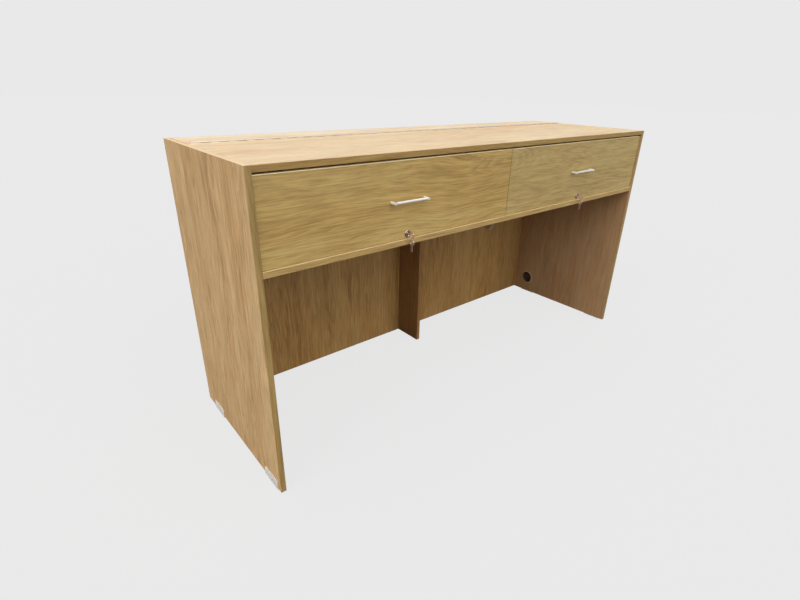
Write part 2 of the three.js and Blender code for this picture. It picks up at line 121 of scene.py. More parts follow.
def apply_modifier(piece, kind, **settings):
    modifier = piece.modifiers.new(kind.title(), kind)
    for key, value in settings.items():
        setattr(modifier, key, value)
    pick(piece)
    bpy.ops.object.modifier_apply(modifier=modifier.name)
    return piece


def ease_edges(piece, width, segments=2, finish=-1, angle=40):
    """Rounds every sharp edge a little. The new faces may take their own finish."""
    apply_modifier(piece, "BEVEL", width=width, segments=segments, limit_method="ANGLE",
                   angle_limit=math.radians(angle), material=finish)
    return piece


def carve(piece, cutter, operation="DIFFERENCE"):
    """Cuts one solid out of a piece, or joins it on, and clears the cutter away."""
    apply_modifier(piece, "BOOLEAN", operation=operation, solver="EXACT", object=cutter)
    bpy.data.objects.remove(cutter)
    return piece


def edit(piece, mode="FACE"):
    pick(piece)
    bpy.ops.object.mode_set(mode="EDIT")
    bpy.ops.mesh.select_mode(type=mode)
    bpy.ops.mesh.select_all(action="DESELECT")


def leave_edit():
    bpy.ops.object.mode_set(mode="OBJECT")


def select_faces(piece, test):
    """Selects the faces whose centre and normal pass the test, and no others."""
    edit(piece, "FACE")
    leave_edit()
    for face in piece.data.polygons:
        face.select = test(face.center, face.normal)
    bpy.ops.object.mode_set(mode="EDIT")


def select_edges(piece, test):
    """Selects the edges whose two ends pass the test, and no others."""
    edit(piece, "EDGE")
    leave_edit()
    points = piece.data.vertices
    for line in piece.data.edges:
        line.select = test(points[line.vertices[0]].co, points[line.vertices[1]].co)
    bpy.ops.object.mode_set(mode="EDIT")


def round_edges(piece, test, width, segments):
    """Rounds the edges whose two ends pass the test."""
    select_edges(piece, test)
    bpy.ops.mesh.bevel(offset=width, segments=segments, affect="EDGES")
    leave_edit()


def close_and_face_out(piece):
    """Merges doubled points, fills open ends and turns every face outwards."""
    edit(piece)
    bpy.ops.mesh.select_all(action="SELECT")
    bpy.ops.mesh.remove_doubles(threshold=0.01 * MM)
    bpy.ops.mesh.fill_holes(sides=0)
    bpy.ops.mesh.select_all(action="SELECT")
    bpy.ops.mesh.normals_make_consistent(inside=False)
    leave_edit()
    return piece


def smooth(piece, angle=35):
    """Round-looking small faces and flat large ones, so that a wide face isn't shaded by its eased rim."""
    pick(piece)
    bpy.ops.object.shade_smooth_by_angle(angle=math.radians(angle))
    for face in piece.data.polygons:
        if face.area > FLAT_AREA:
            face.use_smooth = False
    return piece


def add_block(name, low, high):
    low, high = Vector(low), Vector(high)
    deselect_all()
    bpy.ops.mesh.primitive_cube_add(size=1, location=(low + high) / 2)
    piece = named(name)
    piece.scale = high - low
    return settle(piece)


def aim(axis):
    """The turn that carries +Z onto an axis."""
    return Vector(axis).to_track_quat("Z", "Y").to_matrix().to_4x4()


def stood(point, axis):
    """The place of a piece made along +Z that stands at a point, along an axis."""
    return Matrix.Translation(point) @ aim(axis)


def add_rod(name, radius, start, end, sides=TURN_STEPS):
    start, end = Vector(start), Vector(end)
    deselect_all()
    bpy.ops.mesh.primitive_cylinder_add(vertices=sides, radius=radius, depth=(end - start).length)
    piece = named(name)
    piece.matrix_world = stood((start + end) / 2, end - start)
    return settle(piece)


def add_turned(name, profile, place=Matrix.Identity(4), steps=TURN_STEPS):
    """A turned piece: a ring drawn out step by step along (radius, height) corners.
    A profile that comes back to its first corner makes a hollow ring, and any other is closed flat."""
    deselect_all()
    radius, height = profile[0]
    bpy.ops.mesh.primitive_circle_add(vertices=steps, radius=radius, location=(0, 0, height))
    piece = named(name)
    settle(piece)
    edit(piece, "EDGE")
    bpy.ops.mesh.select_all(action="SELECT")
    for next_radius, next_height in profile[1:]:
        lift = (0, 0, next_height - height)
        bpy.ops.mesh.extrude_region_move(TRANSFORM_OT_translate={"value": lift})
        share = next_radius / radius
        bpy.ops.transform.resize(value=(share, share, 1), center_override=(0, 0, next_height))
        radius, height = next_radius, next_height
    leave_edit()
    close_and_face_out(piece)
    piece.matrix_world = place
    return settle(piece)


def copy_of(piece, name, place=Matrix.Identity(4)):
    """Another of the same piece, with its own mesh, at its own place."""
    twin = piece.copy()
    twin.data = piece.data.copy()
    twin.name = name
    twin.data.name = name
    bpy.context.scene.collection.objects.link(twin)
    twin.matrix_world = place
    return settle(twin)


def join(name, pieces):
    deselect_all()
    for piece in pieces:
        piece.select_set(True)
    bpy.context.view_layer.objects.active = pieces[0]
    bpy.ops.object.join()
    return named(name)


def dress(piece, body, slot, *materials, stands_for=()):
    """Gives a piece its finishes, its body and the node that it stands for."""
    if materials:
        piece.data.materials.clear()
        for material in materials:
            piece.data.materials.append(material)
    if stands_for:
        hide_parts(*stands_for)
    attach(piece, body)
    return piece


def paint_faces(piece, finish, test):
    for face in piece.data.polygons:
        if test(face.center, face.normal):
            face.material_index = finish


# ---------------------------------------------------------------- finishes

def linear(red, green, blue):
    """A colour given in display values from 0 to 255, as the shader's linear values."""
    def channel(value):
        share = value / 255
        return share / 12.92 if share <= 0.04045 else ((share + 0.055) / 1.055) ** 2.4
    return (channel(red), channel(green), channel(blue), 1.0)


def wire(tree, kind, inputs=(), **settings):
    """Adds a node, sets it up, and sets or links its inputs by name or number."""
    made = tree.nodes.new(kind)
    for key, value in settings.items():
        setattr(made, key, value)
    for key, value in dict(inputs).items():
        if isinstance(value, bpy.types.NodeSocket):
            tree.links.new(value, made.inputs[key])
        else:
            made.inputs[key].default_value = value
    return made


def arithmetic(tree, operation, first, second=0.0, third=0.0):
    return wire(tree, "ShaderNodeMath", {0: first, 1: second, 2: third}, operation=operation).outputs[0]


def remap(tree, value, low, high, to_low=0.0, to_high=1.0):
    return wire(tree, "ShaderNodeMapRange", {"Value": value, "From Min": low, "From Max": high,
                                             "To Min": to_low, "To Max": to_high}).outputs["Result"]


def stretched(tree, vector, scale):
    return wire(tree, "ShaderNodeMapping", {"Vector": vector, "Scale": scale}).outputs["Vector"]


def product(tree, first, second):
    return arithmetic(tree, "MULTIPLY", first, second)


def layered(tree, layer, weight, base):
    """A layer times its weight, on top of a base."""
    return arithmetic(tree, "MULTIPLY_ADD", layer, weight, base)


def vector_math(tree, operation, inputs):
    return wire(tree, "ShaderNodeVectorMath", inputs, operation=operation).outputs


def noise(tree, vector, scale=1.0, detail=2.0, roughness=0.5):
    return wire(tree, "ShaderNodeTexNoise", {"Vector": vector, "Scale": scale, "Detail": detail,
                                             "Roughness": roughness}).outputs["Fac"]


def drawn_noise(tree, vector, stretch, detail=2.0, roughness=0.5):
    """Noise that is drawn out by a stretch of its own along each axis."""
    return noise(tree, stretched(tree, vector, stretch), detail=detail, roughness=roughness)


def colour_mix(tree, factor, first, second, mode="MIX"):
    inputs = {0: factor, 6: first, 7: second}
    return wire(tree, "ShaderNodeMix", inputs, data_type="RGBA", blend_type=mode).outputs[2]


def ramp(tree, value, stops):
    made = wire(tree, "ShaderNodeValToRGB", {"Fac": value})
    points = made.color_ramp.elements
    while len(points) < len(stops):
        points.new(0.5)
    for point, (place, colour) in zip(points, stops):
        point.position = place
        point.color = colour
    return made.outputs["Color"]


def open_group(name, inputs, outputs):
    """Starts a node group. inputs maps a name to Vector or Float, and every output is a number."""
    tree = bpy.data.node_groups.new(name, "ShaderNodeTree")
    for socket, kind in inputs.items():
        tree.interface.new_socket(socket, in_out="INPUT", socket_type=f"NodeSocket{kind}")
    for socket in outputs:
        tree.interface.new_socket(socket, in_out="OUTPUT", socket_type="NodeSocketFloat")
    return tree, tree.nodes.new("NodeGroupInput"), tree.nodes.new("NodeGroupOutput")


def put_out(tree, made, values):
    """Links what a group gives out, or what a shader takes in, by name."""
    for name, value in values.items():
        tree.links.new(value, made.inputs[name])


def grain_group():
    """Oak figure: the vector runs along the grain in x and across it in y, in metres.
    The growth lines swirl round a knot, and Knot Pull says how strongly."""
    tree, given, made = open_group(
        "oak_grain",
        {"Vector": "Vector", "Waviness": "Float", "Figure": "Float", "Knot": "Vector", "Knot Pull": "Float"},
        ("Tone", "Lines", "Patches", "Pores", "Height"))
    vector = given.outputs["Vector"]
    away = vector_math(tree, "SUBTRACT", {0: vector, 1: given.outputs["Knot"]})[0]
    away = vector_math(tree, "MULTIPLY", {0: away, 1: (7.0, 17.0, 0.0)})[0]
    reach = vector_math(tree, "LENGTH", {0: away})["Value"]
    knot = arithmetic(tree, "EXPONENT", product(tree, arithmetic(tree, "POWER", reach, 2.0), -1.0))
    knot = product(tree, knot, given.outputs["Knot Pull"])
    sway = drawn_noise(tree, vector, (1.3, 4.5, 4.5))
    ripple = drawn_noise(tree, vector, (5.0, 14.0, 14.0))
    sway = product(tree, arithmetic(tree, "SUBTRACT", sway, 0.5), 0.09)
    ripple = product(tree, arithmetic(tree, "SUBTRACT", ripple, 0.5), 0.018)
    drift = product(tree, arithmetic(tree, "ADD", sway, ripple), given.outputs["Waviness"])
    drift = layered(tree, knot, 0.03, drift)
    parts = wire(tree, "ShaderNodeSeparateXYZ", {"Vector": vector}).outputs
    across = arithmetic(tree, "ADD", parts["Y"], drift)
    turned = wire(tree, "ShaderNodeCombineXYZ", {"X": parts["X"], "Y": across, "Z": parts["Z"]})
    bent = turned.outputs["Vector"]
    patches = drawn_noise(tree, bent, (1.6, 9.0, 6.0), detail=3.0, roughness=0.6)
    bands = drawn_noise(tree, bent, (2.4, 45.0, 9.0), detail=3.0, roughness=0.55)
    streaks = drawn_noise(tree, bent, (4.5, 150.0, 40.0), detail=3.0, roughness=0.6)
    fibres = drawn_noise(tree, bent, (13.0, 300.0, 160.0), roughness=0.6)
    fine = drawn_noise(tree, bent, (60.0, 1300.0, 500.0), detail=1.0)
    tone = layered(tree, patches, 0.16, -0.12)
    for layer, weight in ((bands, 0.17), (streaks, 0.26), (fibres, 0.56), (fine, 0.09)):
        tone = layered(tree, layer, weight, tone)

    hill = drawn_noise(tree, bent, (0.9, 8.0, 5.0), detail=1.0)
    hill = layered(tree, knot, 0.35, hill)
    phase = arithmetic(tree, "FRACT", layered(tree, hill, 24.0, product(tree, streaks, 0.5)))
    lines = product(tree, remap(tree, phase, 0.35, 0.93), remap(tree, phase, 1.0, 0.95))
    broken = drawn_noise(tree, bent, (7.0, 60.0, 40.0))
    lines = product(tree, lines, remap(tree, broken, 0.42, 0.58))
    shown = arithmetic(tree, "ADD", remap(tree, patches, 0.62, 0.40, 0.15, 1.0), knot)
    lines = product(tree, lines, product(tree, shown, given.outputs["Figure"]))

    pits = drawn_noise(tree, bent, (55.0, 1900.0, 500.0), detail=1.0)
    pores = product(tree, remap(tree, pits, 0.60, 0.70), remap(tree, streaks, 0.58, 0.42))
    height = layered(tree, pores, -0.8, fibres)
    put_out(tree, made, {"Tone": tone, "Lines": lines, "Patches": patches, "Pores": pores, "Height": height})
    return tree


def handling_group():
    """Fine scuffs and the faint cloudiness that hands and cloths leave."""
    tree, given, made = open_group("handling_marks", {"Vector": "Vector", "Size": "Float"},
                                   ("Clouds", "Scuffs"))
    vector = vector_math(tree, "SCALE", {0: given.outputs["Vector"], "Scale": given.outputs["Size"]})[0]
    clouds = noise(tree, vector, scale=5.0, detail=5.0, roughness=0.65)
    swirl = wire(tree, "ShaderNodeTexNoise", {"Vector": vector, "Scale": 3.0, "Detail": 1.0}).outputs["Color"]
    bent = vector_math(tree, "ADD", {0: vector, 1: swirl})[0]
    scuffs = remap(tree, drawn_noise(tree, bent, (9.0, 260.0, 140.0), detail=1.0), 0.68, 0.76)
    put_out(tree, made, {"Clouds": clouds, "Scuffs": scuffs})
    return tree


def brushed_group():
    """Drawn lines along x, with a faint mottle, for rolled and brushed metal."""
    tree, given, made = open_group("drawn_lines", {"Vector": "Vector"}, ("Lines", "Mottle"))
    vector = given.outputs["Vector"]
    lines = drawn_noise(tree, vector, (25.0, 5200.0, 5200.0), detail=3.0, roughness=0.6)
    put_out(tree, made, {"Lines": lines, "Mottle": noise(tree, vector, scale=160.0, detail=3.0)})
    return tree


GRAIN, HANDLING, BRUSHED = grain_group(), handling_group(), brushed_group()


def grouped(tree, group, inputs):
    return wire(tree, "ShaderNodeGroup", inputs, node_tree=group).outputs


def open_material(name):
    material = bpy.data.materials.new(name)
    material.use_nodes = True
    tree = material.node_tree
    return material, tree, tree.nodes["Principled BSDF"]


def surface(tree, shader, shades, rough, height, strength, depth):
    """Feeds a shader its colour and roughness, and a bump of the given strength and depth."""
    bump = wire(tree, "ShaderNodeBump", {"Height": height, "Strength": strength, "Distance": depth})
    put_out(tree, shader, {"Base Color": shades, "Roughness": rough, "Normal": bump.outputs["Normal"]})


def along(tree, order, shift=(0.0, 0.0, 0.0)):
    """Object coordinates put in the order (along the grain, across it, through the board), then shifted."""
    place = wire(tree, "ShaderNodeTexCoord").outputs["Object"]
    parts = wire(tree, "ShaderNodeSeparateXYZ", {"Vector": place}).outputs
    turned = wire(tree, "ShaderNodeCombineXYZ", {slot: parts[axis] for slot, axis in zip("XYZ", order)})
    place = turned.outputs["Vector"]
    return wire(tree, "ShaderNodeMapping", {"Vector": place, "Location": shift}).outputs["Vector"]


def tint(colour, share):
    return tuple(min(1.0, value * share) for value in colour[:3]) + (1.0,)


OAK_SHADE = (0.60, 0.55, 0.46)
OAK_WARMTH = (1.0, 0.93, 0.86, 1.0)


def oak(name, order, colour, shift=(0.0, 0.0, 0.0), contrast=1.0, waviness=1.0, figure=1.0, gloss=0.42,
        knot=(0.0, 0.0, 0.0), pull=0.0):
    """Printed oak laminate: soft patches, crisp streaks, growth lines and short pores, satin lacquered."""
    material, tree, shader = open_material(name)
    vector = along(tree, order, shift)
    grain = grouped(tree, GRAIN, {"Vector": vector, "Waviness": waviness, "Figure": figure, "Knot": knot,
                                  "Knot Pull": pull})
    dark = tuple(value * share for value, share in zip(colour[:3], OAK_SHADE)) + (1.0,)
    reach = 0.16 / contrast
    shades = ramp(tree, grain["Tone"], [(0.5 - reach, dark), (0.5, colour), (0.5 + reach, tint(colour, 1.3))])
    warmer = colour_mix(tree, 1.0, shades, OAK_WARMTH, "MULTIPLY")
    shades = colour_mix(tree, remap(tree, grain["Patches"], 0.62, 0.42), shades, warmer)
    shades = colour_mix(tree, product(tree, grain["Lines"], min(1.0, 0.75 * contrast)), shades, dark)
    shades = colour_mix(tree, product(tree, grain["Pores"], min(1.0, 0.45 * contrast)), shades,
                        tint(colour, 0.45))
    marks = grouped(tree, HANDLING, {"Vector": vector, "Size": 1.0})
    rough = remap(tree, marks["Clouds"], 0.3, 0.7, gloss - 0.05, gloss + 0.07)
    rough = layered(tree, marks["Scuffs"], 0.06, rough)
    rough = layered(tree, grain["Pores"], 0.12, rough)
    surface(tree, shader, shades, rough, grain["Height"], 0.22, 0.15 * MM)
    shader.inputs["Specular IOR Level"].default_value = 0.35
    return material


def chipboard(name, order):
    """Raw chipboard on an unbanded edge: pressed flakes of mixed shades."""
    material, tree, shader = open_material(name)
    vector = along(tree, order)
    flakes = wire(tree, "ShaderNodeTexVoronoi", {"Vector": stretched(tree, vector, (260.0, 520.0, 260.0)),
                                                 "Scale": 1.0, "Randomness": 1.0}).outputs
    shade = wire(tree, "ShaderNodeSeparateColor", {"Color": flakes["Color"]}).outputs["Red"]
    shades = ramp(tree, shade, [(0.0, linear(118, 88, 55)), (0.5, linear(170, 136, 94)),
                                (1.0, linear(214, 184, 140))])
    height = arithmetic(tree, "ADD", flakes["Distance"], noise(tree, vector, scale=900.0))
    surface(tree, shader, shades, remap(tree, shade, 0.0, 1.0, 0.8, 0.95), height, 0.6, 0.3 * MM)
    return material


def melamine(name, colour, gloss=0.5):
    """Plain white-faced board with a fine pebble and faint marks."""
    material, tree, shader = open_material(name)
    vector = along(tree, "XYZ")
    marks = grouped(tree, HANDLING, {"Vector": vector, "Size": 1.4})
    shades = colour_mix(tree, remap(tree, marks["Clouds"], 0.3, 0.7), tint(colour, 0.94), colour)
    rough = remap(tree, marks["Clouds"], 0.3, 0.7, gloss - 0.06, gloss + 0.08)
    rough = layered(tree, marks["Scuffs"], 0.1, rough)
    surface(tree, shader, shades, rough, noise(tree, vector, scale=1500.0), 0.15, 0.1 * MM)
    return material


def metal(name, order, colour, gloss, lines=0.3, mottle=0.3, metallic=1.0):
    """Metal with drawn lines along its length, soft mottling and worn patches."""
    material, tree, shader = open_material(name)
    vector = along(tree, order)
    drawn = grouped(tree, BRUSHED, {"Vector": vector})
    marks = grouped(tree, HANDLING, {"Vector": vector, "Size": 12.0})
    worn = remap(tree, drawn["Mottle"], 0.35, 0.65, 0.0, mottle)
    shades = colour_mix(tree, worn, colour, tint(colour, 0.72))
    rough = remap(tree, drawn["Lines"], 0.3, 0.7, gloss - 0.05, gloss + 0.08)
    rough = layered(tree, marks["Clouds"], 0.12, rough)
    height = layered(tree, drawn["Mottle"], 0.4, drawn["Lines"])
    surface(tree, shader, shades, rough, height, lines, 0.03 * MM)
    shader.inputs["Metallic"].default_value = metallic
    return material


def plastic(name, colour, gloss, glow=0.0):
    """Moulded plastic with a fine spark-eroded texture and handling marks."""
    material, tree, shader = open_material(name)
    vector = along(tree, "XYZ")
    marks = grouped(tree, HANDLING, {"Vector": vector, "Size": 10.0})
    shades = colour_mix(tree, remap(tree, marks["Clouds"], 0.3, 0.7), tint(colour, 0.88), colour)
    shades = colour_mix(tree, product(tree, marks["Scuffs"], 0.25), shades, tint(colour, 1.25))
    rough = remap(tree, marks["Clouds"], 0.3, 0.7, gloss - 0.05, gloss + 0.1)
    surface(tree, shader, shades, rough, noise(tree, vector, scale=2600.0), 0.25, 0.05 * MM)
    if glow:
        shader.inputs["Subsurface Weight"].default_value = glow
        shader.inputs["Subsurface Radius"].default_value = (1.0, 1.0, 1.0)
        shader.inputs["Subsurface Scale"].default_value = 4 * MM
    return material


# The worktop, the flaps and the end panels' top edges are paler than the same oak on the fronts: partly the
# laminate's own tone, partly painted light on the up-facing faces. The flaps are paler again, as painted
# light on the back of the top.
TOP_LIT_COLOUR = linear(237, 210, 171)
FLAP_LIT_COLOUR = linear(246, 221, 186)
TOP_EDGE_COLOUR = linear(163, 136, 83)
PANEL_COLOUR = linear(205, 170, 122)
# Darker copy of the end panels' oak for their inner faces: painted shade of the knee space.
PANEL_INNER_SHADED_COLOUR = linear(176, 140, 102)
FRONT_COLOUR = linear(184, 157, 98)
RIGHT_FRONT_COLOUR = linear(181, 160, 108)
EDGE_COLOUR = linear(160, 134, 84)
SHELF_EDGE_COLOUR = linear(180, 154, 100)
# The back panel, the middle support and the bay boards take darker copies of the oak: painted shade of the
# knee space.
INNER_COLOUR = linear(168, 132, 80)
SUPPORT_SHADED_COLOUR = linear(154, 116, 72)
SUPPORT_EDGE_SHADED_COLOUR = linear(150, 110, 66)
# Near-white cream: painted highlight on the drawer fronts' top edges and on the shelf's ledge, where light
# grazes them in the narrow gaps.
CREAM_HIGHLIGHT_COLOUR = linear(248, 229, 184)

TOP_OAK = oak("oak_worktop_face_painted_light", "XYZ", TOP_LIT_COLOUR, (0.3, 0.1, 0.0), contrast=0.85, figure=0.6, gloss=0.36)
FLAP_OAK = oak("oak_flap_face_painted_light", "XYZ", FLAP_LIT_COLOUR, (2.1, 0.7, 0.0), contrast=0.85, figure=0.6, gloss=0.36)
TOP_BAND = oak("oak_worktop_band", "XZY", TOP_EDGE_COLOUR, (0.7, 0.2, 0.0), contrast=0.8, figure=0.2)
PANEL_OAK = oak("oak_end_panel_face", "ZYX", PANEL_COLOUR, (1.1, 0.4, 0.0), contrast=1.15, waviness=0.8)
PANEL_INNER_SHADED_OAK = oak("oak_end_panel_inner_face_painted_shade", "ZYX", PANEL_INNER_SHADED_COLOUR, (0.2, 1.4, 0.0), contrast=0.6,
                      waviness=0.6, figure=0.5)
PANEL_BAND = oak("oak_end_panel_band", "ZXY", EDGE_COLOUR, (0.9, 0.0, 0.0), contrast=0.8, waviness=0.4,
                 figure=0.0)
PANEL_TOP_BAND = oak("oak_end_panel_top_band_painted_light", "YXZ", TOP_LIT_COLOUR, contrast=0.5, waviness=0.4, figure=0.0)
FRONT_KNOT = (0.12, 1.19, 0.0)
FRONT_OAKS = {"left": oak("oak_left_drawer_front_face", "XZY", FRONT_COLOUR, (0.15, 0.3, 0.0),
                          contrast=0.85, figure=0.9, knot=FRONT_KNOT, pull=0.8),
              "right": oak("oak_right_drawer_front_face", "XZY", RIGHT_FRONT_COLOUR, (0.15, 0.3, 0.0),
                           contrast=0.75, figure=0.8, knot=FRONT_KNOT, pull=0.8)}
FRONT_BAND = oak("oak_drawer_front_band", "XYZ", FRONT_COLOUR, (0.4, 0.2, 0.0), contrast=0.7, figure=0.2)
FRONT_TOP_HIGHLIGHT_BAND = oak("oak_drawer_front_top_band_painted_highlight", "XYZ", CREAM_HIGHLIGHT_COLOUR, (0.4, 0.2, 0.0), contrast=0.3,
                     figure=0.0)
FRONT_END_BAND = oak("oak_drawer_front_end_band", "ZYX", FRONT_COLOUR, (0.4, 0.2, 0.0), contrast=0.7,
                     figure=0.2)
SHELF_HIGHLIGHT_OAK = oak("oak_shelf_face_painted_highlight", "XYZ", CREAM_HIGHLIGHT_COLOUR, (1.4, 0.9, 0.0), contrast=0.5, figure=0.4)
SHELF_BAND = oak("oak_shelf_band", "XZY", SHELF_EDGE_COLOUR, (1.1, 0.4, 0.0), contrast=0.7, figure=0.2)
BACK_SHADED_OAK = oak("oak_back_panel_face_painted_shade", "ZXY", INNER_COLOUR, (0.0, 0.6, 0.0), waviness=0.5)
SUPPORT_SHADED_OAK = oak("oak_support_face_painted_shade", "ZYX", SUPPORT_SHADED_COLOUR, (0.5, 0.1, 0.0), contrast=0.8, waviness=0.4,
                  figure=0.6)
SUPPORT_SHADED_BAND = oak("oak_support_band_painted_shade", "ZXY", SUPPORT_EDGE_SHADED_COLOUR, (0.1, 0.8, 0.0), contrast=0.8,
                   waviness=0.4, figure=0.0)
RAW_EDGE = chipboard("raw_chipboard_edge", "YXZ")
WHITE_BOARD = melamine("white_melamine_board", linear(226, 222, 212))
WHITE_SHEET = melamine("white_faced_hardboard", linear(218, 214, 204), gloss=0.6)
# Near-white and only part metal: the white diffuse share is a painted reflection of the bright surround on
# the bar.
HANDLE_WHITENED_METAL = metal("satin_handle_painted_reflection", "XYZ", linear(254, 251, 246), 0.26, mottle=0.1, metallic=0.4)
HINGE_METAL = metal("mill_finish_hinge", "XYZ", linear(214, 206, 194), 0.34, lines=0.4, mottle=0.15,
                    metallic=0.5)
RUNNER_STEEL = metal("zinc_plated_runner", "YZX", linear(190, 194, 198), 0.34, mottle=0.7)
SCREW_STEEL = metal("zinc_plated_screw", "XYZ", linear(196, 198, 200), 0.28, mottle=0.5)
LOCK_NICKEL = metal("nickel_plated_lock", "XYZ", linear(196, 176, 164), 0.16, lines=0.15)
KEYWAY_DARK = plastic("keyway_shadow", linear(40, 36, 34), 0.6)
KEY_METAL = metal("nickel_silver_key", "XYZ", linear(236, 214, 198), 0.18, lines=0.4, metallic=0.9)
RING_METAL = metal("bright_steel_ring", "XYZ", linear(206, 190, 176), 0.18, lines=0.1, metallic=0.8)
GLIDE_PLASTIC = plastic("milky_glide_plastic", linear(232, 226, 220), 0.35, glow=0.6)
# Near-white: painted highlight on the lit inner wall of the back port's bore.
PORT_WALL_HIGHLIT_PLASTIC = plastic("beige_port_wall_painted_highlight", linear(252, 230, 200), 0.42)
# Brown: painted shade on the back port's flange.
FLANGE_SHADED_PLASTIC = plastic("brown_port_flange_painted_shade", linear(158, 122, 78), 0.4)
# Tan: painted highlight on the side port's rim, where light catches its near side.
RIM_HIGHLIT_PLASTIC = plastic("tan_port_rim_painted_highlight", linear(200, 166, 128), 0.42)
# Brown: painted shade on the back port's cap and on the side port's bore wall.
CAP_PLASTIC = plastic("brown_port_cap_painted_shade", linear(140, 106, 64), 0.5)
# Dark: painted shade of the side port's hole.
DARK_CAP_SHADED_PLASTIC = plastic("dark_port_cap_painted_shade", linear(66, 50, 38), 0.5)


# ---------------------------------------------------------------- boards

def band(axis, end, label, finish, rounding=BAND_ROUND, joint=None):
    """Where a board's edge has a strip on it. joint is an x where the strip is made of two lengths."""
    return axis, end, label, finish, rounding, joint


def add_board(name, node, body, slot, thickness, face, edge, bands=(), others=(), cutters=()):
    """A faced board with eased edges. thickness is the axis through it. bands lists the edges that have a
    2 mm band, which is a strip of its own. others lists (axis, end, finish) for edges with a finish of
    their own. cutters are solids to cut out of it."""
    low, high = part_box(node)
    core_low, core_high = low.copy(), high.copy()
    for axis, end, *_ in bands:
        if end < 0:
            core_low[axis] += BAND
        else:
            core_high[axis] -= BAND
    board = add_block(name, core_low, core_high)
    for cutter in cutters:
        carve(board, cutter)
    finishes = [face, edge] + [finish for _, _, finish in others]
    for finish in finishes:
        board.data.materials.append(finish)
    paint_faces(board, 1, lambda centre, normal: abs(normal[thickness]) < 0.5)
    for index, (axis, end, _) in enumerate(others):
        limit = core_low[axis] if end < 0 else core_high[axis]
        paint_faces(board, index + 2, lambda centre, normal: abs(centre[axis] - limit) < NEAR)
    ease_edges(board, BOARD_EASE, segments=2)
    smooth(board)
    dress(board, body, slot, stands_for=(node,))
    for axis, end, label, finish, rounding, joint in bands:
        strip_low, strip_high = low.copy(), high.copy()
        if end < 0:
            strip_high[axis] = low[axis] + BAND - BAND_LINE
        else:
            strip_low[axis] = high[axis] - BAND + BAND_LINE
        if joint is None:
            add_band(f"{name}_{label}", strip_low, strip_high, axis, end, body, slot, finish, rounding)
            continue
        for part, start, stop in (("left", low.x, joint - BAND_GAP), ("right", joint + BAND_GAP, high.x)):
            strip_low.x, strip_high.x = start, stop
            add_band(f"{name}_{label}_{part}", strip_low, strip_high, axis, end, body, slot, finish, rounding)
    return board


def add_band(name, low, high, axis, end, body, slot, finish, rounding):
    """Edge banding: a thin strip whose outer edges are rounded over by the trimmer."""
    strip = add_block(name, low, high)
    outer = high[axis] if end > 0 else low[axis]
    round_edges(strip, lambda a, b: abs(a[axis] - outer) < NEAR and abs(b[axis] - outer) < NEAR, rounding, 3)
    ease_edges(strip, BAND_SEAM, segments=1, angle=60)
    smooth(strip)
    return dress(strip, body, slot, finish)


def add_end_panels():
    for name, side in SIDES:
        node = f"{name}_end_panel"
        cutters = [port_bore("side_port_liner", 0)] if side > 0 else []
        bands = (band(1, -1, "front_band", PANEL_BAND), band(1, 1, "back_band", PANEL_BAND))
        board = add_board(f"{name}_end_panel_board", node, "carcass", "oak_panel", 0, PANEL_OAK,
                          PANEL_TOP_BAND, bands=bands,
                          others=((2, -1, RAW_EDGE),), cutters=cutters)
        # The inner faces take the darker copy of the oak as painted shade.
        board.data.materials.append(PANEL_INNER_SHADED_OAK)
        paint_faces(board, len(board.data.materials) - 1, lambda centre, normal: normal.x * side < -0.9)


def port_bore(liner, axis):
    """The hole in a board for a cable port, a little wider than the liner's sleeve."""
    low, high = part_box(liner)
    centre = (low + high) / 2
    across = [index for index in range(3) if index != axis]
    sleeve = (high[across[0]] - low[across[0]]) / 2 - PORT_LAP
    start, end = centre.copy(), centre.copy()
    start[axis], end[axis] = low[axis] - BEYOND, high[axis] + BEYOND
    return add_rod(f"{liner}_bore", sleeve, start, end, sides=64)


def add_worktop():
    low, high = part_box("worktop")
    add_board("worktop_board", "worktop", "carcass", "oak_worktop", 2, TOP_OAK, TOP_BAND,
              bands=(band(1, -1, "front_band", TOP_BAND, joint=(low.x + high.x) / 2),),
              others=((1, 1, RAW_EDGE),))


def add_flaps():
    for name, _ in SIDES:
        add_board(f"{name}_flap_board", f"{name}_flap", f"{name}_flap", "oak_worktop", 2, FLAP_OAK, TOP_BAND,
                  bands=(band(1, 1, "back_band", TOP_BAND),))


def add_inner_boards():
    # These inner boards take the darker oak copies, painted shade.
    add_board("back_panel_board", "back_panel", "carcass", "oak_inner", 1, BACK_SHADED_OAK, SUPPORT_SHADED_BAND,
              others=((2, -1, RAW_EDGE),), cutters=[port_bore("back_port_liner", 1)])
    add_board("middle_support_board", "middle_support", "carcass", "oak_inner", 0, SUPPORT_SHADED_OAK, SUPPORT_SHADED_BAND,
              bands=(band(1, -1, "front_band", SUPPORT_SHADED_BAND),), others=((2, -1, RAW_EDGE),))
    add_board("bay_back_inner_board", "bay_back_board", "carcass", "oak_inner", 1, BACK_SHADED_OAK, SUPPORT_SHADED_BAND)
    add_board("bay_divider_board", "bay_divider", "carcass", "oak_inner", 0, SUPPORT_SHADED_OAK, SUPPORT_SHADED_BAND,
              bands=(band(1, -1, "front_band", SUPPORT_SHADED_BAND),))


